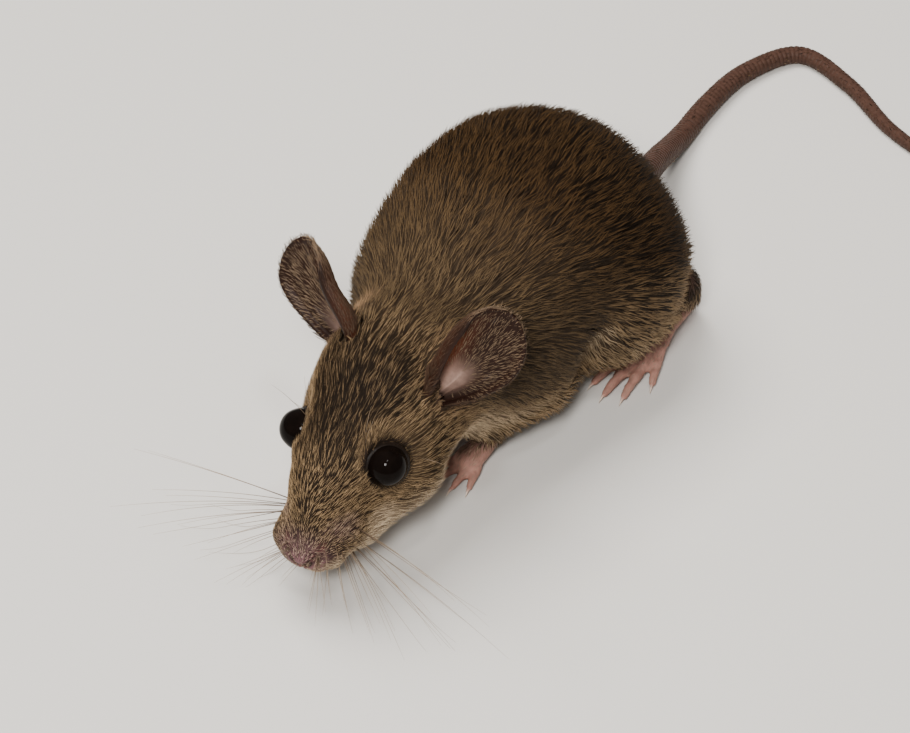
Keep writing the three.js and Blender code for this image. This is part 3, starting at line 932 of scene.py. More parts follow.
feet = {(kind, side): foot_mesh(kind, side) for kind in FEET for side in SIDES}
print("feet:", [len(mesh.vertices) for mesh in feet.values()], "points")

# %% [markdown]
# ## Tail
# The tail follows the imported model's own route. A mouse's tail is covered with rings of tiny
# scales, so its tube is lofted from loops that dip a little between one ring and the next.

# %% Route of the tail
TAIL_RADIUS = (1.5, 0.42)
TAIL_SWELLING = 0.7
TAIL_SWELLING_LENGTH = 4.5
TAIL_FLAT = 0.1
TAIL_ROUTE = [
    (0.1, 11.5, 10.0),
    (0, 14.0, 9.2),
    (-1.0, 20.0, 7.6),
    (-3.2, 26.5, 4.6),
    (-5.2, 33.0, 1.6),
    (-6.3, 39.5, 0.6),
    (-6.2, 46.5, 0.5),
    (-3.4, 52.2, 0.4),
    (3.2, 51.4, 0.4),
    (10.3, 48.4, 0.4),
    (17.3, 47.4, 0.4),
    (23.8, 49.4, 0.3),
    (29.4, 53.4, 0.3),
]
SPAN_STEPS = 40


def smooth_route(knots):
    """A centripetal Catmull-Rom curve through the knots: its points, and the way to each."""
    knots = np.array(knots, float)
    knots = np.vstack((2 * knots[0] - knots[1], knots, 2 * knots[-1] - knots[-2]))
    line = []
    t = np.linspace(0, 1, SPAN_STEPS, endpoint=False)[:, None]
    for a, b, c, d in zip(knots, knots[1:], knots[2:], knots[3:]):
        ab, bc, cd = (np.linalg.norm(q - p) ** 0.5 for p, q in ((a, b), (b, c), (c, d)))
        leave = ((b - a) / ab - (c - a) / (ab + bc) + (c - b) / bc) * bc
        arrive = ((c - b) / bc - (d - b) / (bc + cd) + (d - c) / cd) * bc
        square = (3 * (c - b) - 2 * leave - arrive) * t**2
        line.append(b + leave * t + square + (2 * (b - c) + leave + arrive) * t**3)
    line = np.vstack((*line, knots[-2]))
    run = np.concatenate(([0], np.cumsum(np.linalg.norm(np.diff(line, axis=0), axis=1))))
    return line, run


tail_line, tail_run = smooth_route(np.array(TAIL_ROUTE) + SHIFT)
tail_length = tail_run[-1]


def on_tail(run):
    return np.stack([np.interp(run, tail_run, tail_line[:, axis]) for axis in range(3)], -1)


def tail_radius(run):
    root, tip = TAIL_RADIUS
    return root + (tip - root) * run / tail_length + TAIL_SWELLING * bell(run, TAIL_SWELLING_LENGTH)


print("tail:", round(float(tail_length), 1), "mm")

# %% Rings of scales
RING_LENGTH = (0.62, 0.42)
# Share of a ring's length, and how far the loop there stands out or in, in radii
RING_STEPS = [(0.0, -0.07), (0.14, 0.0), (0.5, 0.02), (0.86, 0.0)]
TAIL_SIDES = 14
TAIL_END = 0.5


def tail_mesh():
    runs, heights = [], []
    start = 0.0
    while start < tail_length - TAIL_END:
        length = np.interp(start, (0, tail_length), RING_LENGTH)
        for share, height in RING_STEPS:
            runs.append(start + share * length)
            heights.append(1 + height)
        start += length
    runs = np.array(runs + [tail_length])
    heights = np.array(heights + [0.5])
    centre = on_tail(runs)
    centre[:, 2] = np.maximum(centre[:, 2], tail_radius(runs) - TAIL_FLAT)
    return tubes("tail", [(centre, tail_radius(runs) * heights)], TAIL_SIDES, floor=0)


tail = tail_mesh()
print("tail:", len(tail.vertices) // TAIL_SIDES, "loops")

# %% [markdown]
# ## One skin
# A boolean union joins ears, feet and tail to the body, so that no seam is left, and the places
# where they meet are smoothed into each other. Each mesh carries a number that says what it
# was; the union keeps it, and leaves 0 on the new points along each joint.

# %% Union
BODY, EAR, FOOT, TAIL = 1, 2, 3, 4


def marked(mesh, kind):
    store(mesh, "part", np.full(len(mesh.vertices), kind))
    return mesh


def joined(meshes):
    whole = bpy.data.meshes.new("joined")
    with editing(whole) as work:
        for mesh in meshes:
            work.from_mesh(mesh)
    return whole


extras = [(mesh, EAR) for mesh in ears.values()]
extras += [(mesh, FOOT) for mesh in feet.values()]
extras += [(tail, TAIL)]
limbs_piece = place("limbs", joined([marked(turned_out(mesh), kind) for mesh, kind in extras]))
body_piece = place("body", marked(body, BODY))
union = body_piece.modifiers.new("union", "BOOLEAN")
union.operation = "UNION"
union.solver = "MANIFOLD"
union.object = limbs_piece
skin_mesh = result_of(body_piece)
bpy.data.objects.remove(limbs_piece)

points = points_of(skin_mesh)
edges = edges_of(skin_mesh)
part = np.round(numbers_of(skin_mesh, "part")).astype(int)
joint = evened(part == 0, edges, 0.5, 8)[:, 0]
points = evened(points, edges, 0.5 * np.clip(joint * 5, 0, 1), 8)
points[:, 2] = points[:, 2].clip(0)
set_points(skin_mesh, points)
a, b = edges.T
for _ in range(3):
    unset = part == 0
    part[a] = np.where(unset[a] & ~unset[b], part[b], part[a])
    part[b] = np.where(unset[b] & ~unset[a], part[a], part[b])
print("skin:", len(points), "points,", triangles_of(skin_mesh), "triangles")

# %% [markdown]
# ## Marks of skin and coat
# The markings are soft-edged zones, each a number from 0 to 1 on every point of the skin. The
# tufts inherit the numbers of the place where they grow, and one shader group turns them into
# colours for skin and coat alike. Their places and radii are in the head's frame.

# %% What each point is near
MIRROR = np.array((-1, 1, 1))
TAIL_MARK = 0.5
NOSE_CREASE = [(1.84, -8.4, -1.9), (1.4, -9.3, -2.7), (0.4, -10.2, -4.3)]
JAW_EDGE = [(2.6, -6.5, -5.2), (4.0, -4.4, -5.4), (5.5, -1.8, -5.6), (6.4, 0.8, -6.0)]
MOUTH_CORNER = (4.3, -4.2, -4.6)
EAR_NOTCH = (6.9, 7.5, 0.3)
NO_LID = 90.0

head = in_head(points)
hx, hy, hz = head.T
high = points[:, 2]
normals = normals_of(skin_mesh)
is_body, is_ear, is_foot, is_tail = (part == kind for kind in (BODY, EAR, FOOT, TAIL))
ear_up = numbers_of(skin_mesh, "ear_up")
ear_outer = numbers_of(skin_mesh, "ear_outer")
ear_inside = numbers_of(skin_mesh, "ear_inside")


def spot(centre, radius):
    """1 at a place in the head's frame and at its mirror image, fading to 0 at the radius."""
    gaps = [np.linalg.norm(head - np.array(centre) * turn, axis=1) for turn in (1, MIRROR)]
    return 1 - ramp(np.minimum(*gaps), radius * 0.35, radius)


def near_either(path, width):
    """How near each point is to a path, and to its mirror image."""
    return near_path(head, path, width), near_path(head * MIRROR, path, width)


def nearest_on(line, wanted):
    """For each wanted point the index of the nearest point of a line."""
    best, found = np.full(len(wanted), np.inf), np.zeros(len(wanted), int)
    for index, mark in enumerate(line):
        gap = ((wanted - mark) ** 2).sum(1)
        closer = gap < best
        best[closer], found[closer] = gap[closer], index
    return found


tail_marks = on_tail(np.arange(0, tail_length, TAIL_MARK))
mark_of_tail = nearest_on(tail_marks, points[is_tail])
past_rump = np.zeros(len(points))
past_rump[is_tail] = (mark_of_tail - mark_of_tail.min()) * TAIL_MARK
tail_base = is_tail * (1 - ramp(past_rump, 0.8, 4.5))
ankle = is_foot * ramp(high, 1.8, 3.2)

lid_gap = np.full(len(points), NO_LID)
for side in SIDES:
    _, distance, outside = lid_profile(points, side)
    lid_gap = np.minimum(lid_gap, np.where(distance < EYE_RADIUS + 0.45, outside, NO_LID))
eye_gap = from_eyes(points) - EYE_RADIUS
lid_ring = ramp(eye_gap, 0.1, 0.4) * (1 - ramp(eye_gap, 0.9, 2.2)) * is_body
from_nose = np.linalg.norm(head - NOSE_TIP, axis=1)
# The nostrils are painted near-black through the lid zone. This is painted shade inside their openings,
# which are only shallow dents.
nostril_shade = ramp(np.maximum(*[near_path(head, path, 0.36) for path in nostrils_on.values()]), 0.25, 0.6)
nose_crease = 0.45 * np.maximum(*near_either(NOSE_CREASE, 0.4))
jaw = sum(near_either(JAW_EDGE, 1.3))
crown = ramp(hy, -7.5, 0) * (1 - ramp(hy, 6, 12)) * ramp(normals @ HEAD_AXES[:, 2], 0.2, 0.9) * is_body
underside = ramp(-normals[:, 2], 0.15, 0.75) * np.maximum(ramp(hy, 4, 8), ramp(-hz, 3.0, 4.2))
chin = ramp(-hz - 0.1 * hy, 4.0, 5.3) * (1 - ramp(hy, 3, 9))
print("points on the tail:", int(is_tail.sum()), "on the feet:", int(is_foot.sum()))

# %% Parts of an ear
ear_notch = spot(EAR_NOTCH, 2.0) * is_body
root_middles = [np.array(ear["root"]) + np.array(ear["tip"]) * 1.5 for ear in EARS.values()]
ear_roots = [np.linalg.norm(head - middle, axis=1) for middle in root_middles]
at_ear = 1 - ramp(np.minimum(*ear_roots), 1.5, 4.6)
in_ear = ramp(ear_inside, 0, 1)
bowl = in_ear * bell(ear_outer - 0.06, 0.32) * bell(ear_up - 0.26, 0.15)
# Painted light: red patches inside the ear and low on its back, where light would shine through the thin
# ear.
glow = in_ear * bell(ear_outer + 0.6, 0.3) * bell(ear_up - 0.42, 0.3)
glow += 0.2 * ramp(-ear_outer, 0.1, 0.5) * ramp(-ear_inside, 0, 1) * (1 - ramp(ear_up, 0.5, 0.9))
front_rim = is_ear * ramp(-ear_outer, 0.82, 0.92) * (1 - ramp(ear_up, 0.75, 0.95))
print("points on the ears:", int(is_ear.sum()))

# %% Zones
pale_parts = (
    0.8 * underside,
    chin,
    0.95 * jaw,
    0.75 * spot(MOUTH_CORNER, 2.4),
    0.8 * spot((0.9, -9.5, -5.3), 1.1),
)
dark_parts = (0.6 * ramp(hy, 2, 9), 0.62 * ramp(hy, -7, -1) + 0.58 * crown)
zones = {
    "back": np.maximum(ramp(hy, 14, 27) * ramp(normals[:, 2], -0.2, 0.6), 0.55 * crown),
    "dark": np.maximum(*dark_parts) * (1 - 0.8 * lid_ring),
    "ring": lid_ring,
    "nape": ramp(hy, 7, 12) * (1 - ramp(hy, 20, 30)) * ramp(high, 6, 14),
    "cream": np.maximum.reduce(pale_parts) * ~is_ear,
    "tan": 0.7 * at_ear * is_body,
    "muzzle": np.maximum(1 - ramp(from_nose, 1.4, 4.4), 0.85 * spot((1.8, -6.5, -2.3), 2.2)),
    "bare": np.maximum.reduce((1 - ramp(from_nose, 0.2, 0.65), ear_notch, nose_crease)),
    # The lid zone is the dark skin of the lids and of the ear's front rim, and painted shade in the
    # nostrils.
    "lid": np.maximum.reduce((1 - ramp(lid_gap, 6, 11), nostril_shade, 0.6 * front_rim)),
    "ear": np.maximum(is_ear, ear_notch),
    "ear_back": is_ear * (1 - ramp(ear_inside, -0.5, 0.5)) * (1 - ramp(ear_up, 0.75, 1.0)),
    "bowl": np.maximum(bowl, 0.25 * ear_notch),
    "glow": glow,
    "foot": is_foot * (1 - 0.85 * ankle),
    "tail": is_tail * (1 - 0.85 * tail_base),
}
for name, values in zones.items():
    store(skin_mesh, name, evened(values, edges, 0.5, 2)[:, 0])
print("zones:", ", ".join(zones))

# %% [markdown]
# ## Lie of the coat
# Hair on the face runs from the nose back to the ears and parts round the eyes. On the body it
# runs to the tail and sweeps down over the flanks, on the legs down to the feet, and on the
# back of an ear from the root to the rim. Inside the ear it fans out from the middle.

# %% Direction of the hair
HEAD_BACK = HEAD_AXES @ (0, 1, 0)
HEAD_DOWN = HEAD_AXES @ (0, 0, -1)
BODY_BACK = np.array((0, 1.0, 0))
BODY_DOWN = np.array((0, 0, -0.55))
LEG_DOWN = np.array((0, -0.25, -1.0))
FOOT_FORWARD = np.array((0, -1.0, -0.3))
ANKLE_TURN = np.array((0, 0.8, -0.7))


def mixed(first, second, share):
    """From the first at no share to the second at a full one, row by row."""
    return first * (1 - share[:, None]) + second * share[:, None]


on_cheek = (1 - ramp(hz, -4.0, -0.5))[:, None]
lie_head = HEAD_BACK + HEAD_DOWN * 0.5 * on_cheek
for centre in EYES.values():
    away = points - centre
    gap = np.linalg.norm(away, axis=1)[:, None]
    lie_head = lie_head + away / gap * 1.6 * bell(gap - EYE_RADIUS, 1.0)
lie_body = BODY_BACK + BODY_DOWN * np.clip(1 - normals[:, 2], 0, 1)[:, None]
lie = mixed(lie_head, lie_body, ramp(hy, 5, 13))
on_leg = (1 - leg_share(points)) * (1 - is_foot)
lie = lie * (1 - 0.85 * on_leg[:, None]) + LEG_DOWN * on_leg[:, None]
for side, ear in EARS.items():
    mine = is_ear & (np.sign(hx) == SIDES[side])
    central = mine & (np.abs(ear_outer) < 0.12) & (np.abs(ear_up - 0.24) < 0.06)
    radial = unit(points - points[central].mean(0))
    upward = HEAD_AXES @ ear_frame(ear)[:, 2]
    lie = np.where(mine[:, None], np.where(ear_inside[:, None] > 0, radial, upward), lie)
lie = np.where(is_foot[:, None], FOOT_FORWARD + ankle[:, None] * ANKLE_TURN, lie)
lie[is_tail] = np.gradient(tail_marks, axis=0)[mark_of_tail]
lie = evened(lie, edges, 0.5, 6)
lie = unit(lie - normals * (lie * normals).sum(1)[:, None])
print("lie of the coat set on", len(lie), "points")

# %% [markdown]
# ## How much hair, and how long
# Length, width and number of tufts per square millimetre change from the nose to the rump, and
# again on legs, ears, feet and tail. The coat runs on over the ankles and the base of the tail
# and thins out there, as a mouse's does, so neither looks like a bare stump.

# %% Length, depth, width and number of tufts
STATIONS = [-10, -8, -5, -2, 3, 8, 13, 19, 26]
LENGTH = [0.6, 0.98, 1.5, 1.85, 2.1, 2.3, 2.7, 3.0, 3.2]
WIDTH = [0.031, 0.032, 0.034, 0.036, 0.04, 0.047, 0.058, 0.072, 0.08]
DENSITY = [135, 104, 84, 74, 68, 59, 47, 38, 36]
LEG_LENGTH = (0.8, 1.8)
LEG_WIDTH = 0.065
LEG_DENSITY = 37
EAR_HAIR = {"length": 0.66, "width": 0.036, "density": 21, "rise": 0.12}
# Each pair is for the bare part and for the end where the coat of the body begins.
FOOT_HAIR = {"length": (0.6, 1.3), "width": (0.035, 0.05), "density": (12, 33), "rise": (0.12, 0.45)}
TAIL_HAIR = {"length": (0.5, 2.2), "width": (0.03, 0.07), "density": (6, 42), "rise": (0.12, 0.9)}

belly = underside * ramp(hy, 8, 14)
leg_top = np.clip(on_leg, 0, 1)
leg_length = np.interp(high, (LEG_FOOT, LEG_TOP), LEG_LENGTH)
length = np.interp(hy, STATIONS, LENGTH) * (1 - 0.25 * belly)
length = length * (1 - leg_top) + leg_length * leg_top
width = np.interp(hy, STATIONS, WIDTH) * (1 - leg_top) + LEG_WIDTH * leg_top
density = np.interp(hy, STATIONS, DENSITY) * (1 - 0.6 * belly)
density = density * (1 - leg_top) + LEG_DENSITY * leg_top
rise = coat_depth(points) + 0.45 * np.clip(jaw, 0, 1)

bare = evened(np.maximum(zones["bare"], 1 - ramp(lid_gap, 0, 4)), edges, 0.5, 2)[:, 0]
density *= (1 - ramp(bare, 0.2, 0.6)) * (1 - 0.4 * underside * (1 - ramp(hy, 6, 10)))
short = np.maximum(zones["lid"], 1 - ramp(eye_gap, 0.2, 1.8))
length *= (1 - 0.6 * short) * (1 - 0.5 * spot(EAR_NOTCH, 3.5))
width *= 1 - 0.3 * short
density *= 1 + 0.5 * short
rise *= 1 - 0.6 * short
print("hairs on the body up to", round(float(length.max()), 2), "mm long")

# %% The same for ears, feet and tail
ear_back = 1 - ramp(ear_inside, -1, 0)
long_hair = (1 - ramp(ear_up, 0.1, 0.42)) * ear_back
fringe = in_ear * np.clip(1 - 1.5 * bowl - glow, 0, 1) * ramp(ear_up, 0.1, 0.25)
ear_edge = np.maximum(ramp(ear_up, 0.8, 1), ramp(np.abs(ear_outer), 0.8, 1))
ear_length = EAR_HAIR["length"] * (1 + 1.2 * long_hair) * (1 - 0.5 * ear_edge * ear_inside.clip(0))
length = np.where(is_ear, ear_length, length)
width = np.where(is_ear, EAR_HAIR["width"] * (1 + 0.8 * long_hair), width)
density = np.where(is_ear, EAR_HAIR["density"] * np.maximum(fringe, ear_back * 3), density)
density = density * (1 - np.maximum(front_rim, 0.5 * ear_edge * is_ear))
rise = np.where(is_ear, EAR_HAIR["rise"] + 0.25 * long_hair, rise)

foot_top = ramp(normals[:, 2], -0.2, 0.4) * ramp(high, 0.7, 1.1)
tail_top = ramp(high, 0.1, 0.4)
thinly_haired = ((is_foot, FOOT_HAIR, ankle, foot_top), (is_tail, TAIL_HAIR, tail_base, tail_top))
for here, hair, furred, on_top in thinly_haired:
    of = {name: bald + (coated - bald) * furred for name, (bald, coated) in hair.items()}
    length = np.where(here, of["length"], length)
    width = np.where(here, of["width"], width)
    density = np.where(here, of["density"] * np.maximum(on_top, furred), density)
    rise = np.where(here, of["rise"], rise)
density[part == 0] = 0
print("hairs in the ears up to", round(float(length[is_ear].max()), 2), "mm long")

# %% Pieces of the coat
PIECES = ["muzzle", "crown", "cheeks", "nape", "shoulders", "back", "loin", "rump", "legs", "ears"]
in_piece = {
    "ears": is_ear,
    "legs": is_foot | is_tail | ((on_leg > 0.25) & (hy > 8)),
    "muzzle": hy < -3,
    "crown": (hy < 8) & (hz > -0.5),
    "cheeks": hy < 8,
    "nape": hy < 14,
    "shoulders": hy < 21,
    "back": hy < 29,
    "loin": hy < 35.5,
}
region = np.select(list(in_piece.values()), [PIECES.index(name) for name in in_piece], PIECES.index("rump"))
on_skin = {
    "coat_length": length,
    "coat_width": width,
    "coat_density": density,
    "coat_rise": rise,
    "coat_region": region,
    "lie": lie,
    "skin_normal": normals,
}
for name, values in on_skin.items():
    store(skin_mesh, name, values)
print("pieces of the coat:", ", ".join(PIECES))

# %% [markdown]
# ## Colours
# Each hair of an agouti coat is slate at the root and dark brown further up, with a tan band
# near its tip. Here the root is near-black, so that it is also painted shade deep in the coat.
# The band's colour follows the zones. The group "mouse markings" reads the zones and puts out
# the colour of the band, of the dark part and of bare skin. Each of the three is one colour with
# others laid over it, by zone. The skin under the coat is very dark: a dusky tone of its own and
# painted shade beneath the tufts.

# %% Named colours
# The hair's root is near-black, darker than slate. It is slate and painted shade deep in the coat in one.
ROOT_SLATE_AND_SHADE = (0.008, 0.005, 0.003, 1)
TAN_BAND = (0.28, 0.187, 0.10, 1)
CREAM_BAND = (0.62, 0.49, 0.33, 1)
CREAM_ROOT = (0.20, 0.14, 0.09, 1)
EAR_BAND = (0.18, 0.123, 0.078, 1)
EAR_BACK_BAND = (0.062, 0.035, 0.022, 1)
FOOT_BAND = (0.34, 0.24, 0.18, 1)
# The skin under the coat is very dark: a dusky tone of its own and painted shade beneath the tufts.
SKIN_UNDER_COAT_AND_SHADE = (0.028, 0.018, 0.013, 1)
SKIN_MUZZLE = (0.165, 0.082, 0.088, 1)
EYE_BLACK = (0.003, 0.002, 0.0016, 1)
EYE_BROWN = (0.0045, 0.0028, 0.0022, 1)
CLAW_QUICK = (0.45, 0.23, 0.18, 1)
CLAW_TIP = (0.62, 0.50, 0.40, 1)
WHISKER_ROOT = (0.05, 0.03, 0.02, 1)
WHISKER_TIP = (0.26, 0.18, 0.11, 1)

# In each list: the zone, how much of it counts, and the colour there.
BAND_LAYERS = [
    ("nape", 1.0, (0.082, 0.054, 0.028, 1)),
    ("back", 1.0, (0.042, 0.023, 0.0095, 1)),
    ("muzzle", 0.8, (0.36, 0.25, 0.20, 1)),
    ("tan", 1.0, (0.32, 0.19, 0.10, 1)),
]
ROOT_LAYERS = [
    ("muzzle", 0.75, (0.050, 0.028, 0.027, 1)),
    ("nape", 0.8, (0.036, 0.024, 0.015, 1)),
    ("cream", 1.0, CREAM_ROOT),
    ("tan", 0.4, CREAM_ROOT),
]
SKIN_LAYERS = [
    ("muzzle", 1.0, SKIN_MUZZLE),
    ("cream", 0.5, SKIN_MUZZLE),
    ("bare", 1.0, (0.18, 0.040, 0.029, 1)),
    ("ear", 1.0, (0.016, 0.0065, 0.004, 1)),
    ("bowl", 1.0, (0.40, 0.26, 0.21, 1)),
    # painted light shining through the thin ear
    ("glow", 1.0, (0.15, 0.038, 0.013, 1)),
    ("foot", 1.0, (0.36, 0.185, 0.145, 1)),
    ("tail", 1.0, (0.055, 0.028, 0.020, 1)),
    ("lid", 1.0, (0.009, 0.006, 0.0045, 1)),
]

# %% Shader group of the markings
markings = bpy.data.node_groups.new("mouse markings", "ShaderNodeTree")
markings.interface.new_socket("Patch Size", in_out="INPUT", socket_type="NodeSocketFloat")
for name in ("Band", "Root", "Skin"):
    markings.interface.new_socket(name, in_out="OUTPUT", socket_type="NodeSocketColor")
marks = Nodes(markings)
patch_size = marks.add("NodeGroupInput").outputs["Patch Size"]
patches = marks.noise(marks.object_place(), marks.maths("DIVIDE", 1.0, patch_size), 2.0)
band = marks.layered(TAN_BAND, BAND_LAYERS)
band = marks.scaled(band, marks.ranged(patches, 0.0, 1.0, 0.72, 1.28))
ear_band = marks.layered(EAR_BAND, [("ear_back", 1.0, EAR_BACK_BAND)])
band = marks.layered(band, [("cream", 1.0, CREAM_BAND), ("ear", 1.0, ear_band), ("foot", 1.0, FOOT_BAND)])
root_colour = marks.layered(ROOT_SLATE_AND_SHADE, ROOT_LAYERS)
skin_colour = marks.layered(SKIN_UNDER_COAT_AND_SHADE, SKIN_LAYERS)
marks.add("NodeGroupOutput", {"Band": band, "Root": root_colour, "Skin": skin_colour})
zones_read = {node.attribute_name for node in markings.nodes if node.type == "ATTRIBUTE"}
print("zones read by the markings:", len(zones_read))

# %% Coat
PATCH_SIZE = 0.0016
# The lower part of each tuft keeps the root's colour, slate with painted shade.
BAND_STOPS = [(0.0, 0.0), (0.36, 0.03), (0.52, 1.0), (0.92, 1.0), (1.0, 0.5)]


def with_markings(nodes):
    group = nodes.add("ShaderNodeGroup", node_tree=markings)
    group.inputs["Patch Size"].default_value = PATCH_SIZE
    return group.outputs


# The tint of a tuft varies a little at random, and it is high in the middle of its lock and low
# between the locks. A high one gives it a pale band, brighter towards the middle of the lock. A
# low one leaves it dark from end to end, and that darkness is painted shade in the partings.
coat_finish, nodes = new_material("mouse coat")
colours = with_markings(nodes)
tint = nodes.maths("SUBTRACT", nodes.zone("tint"), nodes.maths("MULTIPLY", nodes.zone("dark"), 0.28))
ribbon = nodes.add("ShaderNodeValToRGB", {"Fac": nodes.zone("along")})
while len(ribbon.color_ramp.elements) < len(BAND_STOPS):
    ribbon.color_ramp.elements.new(0.5)
for stop, (along, level) in zip(ribbon.color_ramp.elements, BAND_STOPS):
    stop.position = along
    stop.color = (level, level, level, 1)
plain_hair = nodes.maths("ADD", nodes.zone("ear"), nodes.zone("foot"), clamp=True)
ring = nodes.zone("ring")
pale = nodes.maths("MAXIMUM", nodes.ranged(tint, 0.58, 0.78, 0.04, 1.0), plain_hair)
pale = nodes.maths("MAXIMUM", pale, nodes.maths("MULTIPLY", ring, 0.4))
unbanded = nodes.maths("MAXIMUM", plain_hair, nodes.maths("MULTIPLY", ring, 0.8))
banded = nodes.maths("MAXIMUM", ribbon.outputs["Color"], unbanded)
bright = nodes.scaled(colours["Band"], nodes.ranged(tint, 0.3, 1.0, 0.7, 1.25))
hair_colour = nodes.blend(nodes.maths("MULTIPLY", banded, pale), colours["Root"], bright)
nodes.shader({"Base Color": hair_colour, "Roughness": 0.7, "Specular IOR Level": 0.14})
print("stops of the hair's band:", len(BAND_STOPS))

# %% Skin, eyes, claws and whiskers
skin_finish, nodes = new_material("mouse skin")
where = nodes.object_place()
pores = nodes.add("ShaderNodeTexVoronoi", {"Vector": where, "Scale": 4200.0}).outputs["Distance"]
grain = nodes.noise(where, 1500.0, 4.0)
relief = nodes.maths("MULTIPLY_ADD", pores, 0.6, grain)
bump = nodes.add("ShaderNodeBump", {"Height": relief, "Strength": 0.5, "Distance": 0.00006})
flesh = nodes.scaled(with_markings(nodes)["Skin"], nodes.ranged(grain, 0.3, 0.7, 0.82, 1.15))
bare_skin = {"Base Color": flesh, "Roughness": 0.5, "Specular IOR Level": 0.13}
nodes.shader({**bare_skin, "Normal": bump.outputs[0]})

# A mouse's iris is so dark that only a trace of brown clouds the black. The film over it has an
# IOR below the 1.38 of real tears, so that the pale studio is mirrored in it only faintly.
eye_finish, nodes = new_material("wet black eye")
cloud = nodes.ranged(nodes.noise(nodes.object_place(), 1100.0, 3.0), 0.35, 0.7)
film = nodes.ranged(cloud, 0.0, 1.0, 0.03, 0.05)
nodes.shader({"Base Color": nodes.blend(cloud, EYE_BLACK, EYE_BROWN), "Roughness": film, "IOR": 1.13})

# The quick shows pink through the root of a claw, and its tip is plain horn.
claw_finish, nodes = new_material("horn of the claws")
nail = nodes.blend(nodes.ranged(nodes.zone("along"), 0.3, 0.75), CLAW_QUICK, CLAW_TIP)
polish = nodes.ranged(nodes.noise(nodes.object_place(), 5000.0, 2.0), 0.3, 0.7, 0.24, 0.4)
nodes.shader({"Base Color": nail, "Roughness": polish})

whisker_finish, nodes = new_material("whisker")
shade = nodes.blend(nodes.ranged(nodes.zone("along"), 0.0, 0.5), WHISKER_ROOT, WHISKER_TIP)
nodes.shader({"Base Color": shade, "Roughness": 0.4})
finishes = (coat_finish, skin_finish, eye_finish, claw_finish, whisker_finish)
print("materials:", [finish.name for finish in finishes])

# %% [markdown]
# ## Coat of tufts
# A real mouse has far too many hairs to make one by one, so a tuft stands for a few of them. One
# small tapered tuft is scattered over the skin by a Geometry Nodes tree, once for each piece of
# the coat. Each copy is turned to the lie of the coat with a little jitter, scaled to the length
# and width stored on the skin, and bent so that it hugs the skin and rises to the depth of the
# coat at its tip.
#
# Hairs lie together in fine locks. A second, evenly spaced scatter of points gives the middle of
# each lock. A tuft is drawn towards the nearest one along its length, and the nearer it grows to
# it, the paler and the higher it is, so that pale streaks stand out with dark ones between them.
# The dark ones are painted shade in the partings between the locks.

# %% One tuft
TUFT_THICK = 0.45
TUFT_SECTIONS = [(0.0, 0.6), (0.68, 1.0)]
TUFT_POINTS = 3 * len(TUFT_SECTIONS) + 1


def unit_tuft():
    """A closed spike of length 1 along y, three-sided, with its own coordinates kept."""
    points, faces = [], [(0, 1, 2)]
    for along, breadth in TUFT_SECTIONS:
        points += [(-0.5 * breadth, along, 0), (0.5 * breadth, along, 0), (0, along, TUFT_THICK * breadth)]
    points.append((0, 1, 0))
    last = TUFT_POINTS - 4
    for start in range(0, last, 3):
        for low, high in ((start, start + 1), (start + 1, start + 2), (start + 2, start)):
            faces.append((low, low + 3, high + 3, high))
    faces += [(last + corner, TUFT_POINTS - 1, last + (corner + 1) % 3) for corner in range(3)]
    mesh = bpy.data.meshes.new("tuft")
    mesh.from_pydata(points, [], faces)
    for name, axis in (("across", 0), ("along", 1), ("thick", 2)):
        store(mesh, name, [point[axis] for point in points])
    return place("tuft", turned_out(mesh))


tuft = unit_tuft()
print("tuft:", len(tuft.data.vertices), "points")

# %% Inputs of the tree that grows the coat
COAT_INPUTS = {
    "Tuft": "NodeSocketObject",
    "Region": "NodeSocketInt",
    "Share": "NodeSocketFloat",
    "Seed": "NodeSocketInt",
    "Jitter": "NodeSocketFloat",
    "Hug": "NodeSocketFloat",
    "Lock Spacing": "NodeSocketFloat",
    "Gather": "NodeSocketFloat",
    "Finish": "NodeSocketMaterial",
}
coat_tree = bpy.data.node_groups.new("Coat of tufts", "GeometryNodeTree")
coat_tree.interface.new_socket("Geometry", in_out="OUTPUT", socket_type="NodeSocketGeometry")
coat_tree.interface.new_socket("Geometry", in_out="INPUT", socket_type="NodeSocketGeometry")
sockets = {}
for name, kind in COAT_INPUTS.items():
    sockets[name] = coat_tree.interface.new_socket(name, in_out="INPUT", socket_type=kind)

fur = Nodes(coat_tree)
source = fur.add("NodeGroupInput").outputs
position = fur.add("GeometryNodeInputPosition").outputs[0]


def stored(name, kind="FLOAT"):
    return fur.add("GeometryNodeInputNamedAttribute", {"Name": name}, data_type=kind).outputs[0]


def chance(low, high, offset):
    """A random number for each tuft. The offset makes it differ from the tree's other ones."""
    seed = fur.maths("ADD", source["Seed"], float(offset))
    return fur.add("FunctionNodeRandomValue", {2: low, 3: high, "Seed": seed}, data_type="FLOAT").outputs[1]


def keep(geometry, name, value, kind="FLOAT"):
    values = {"Geometry": geometry, "Name": name, "Value": value}
    return fur.add("GeometryNodeStoreNamedAttribute", values, data_type=kind, domain="POINT").outputs[0]


print("inputs of the coat's tree:", ", ".join(COAT_INPUTS))

# %% Where the tufts and the locks stand
LOFT = (0.62, 1.02)
LOFT_VARIES = 0.07
TINT_VARIES = (0.88, 1.12)
LOCKS_TRIED = 3.0

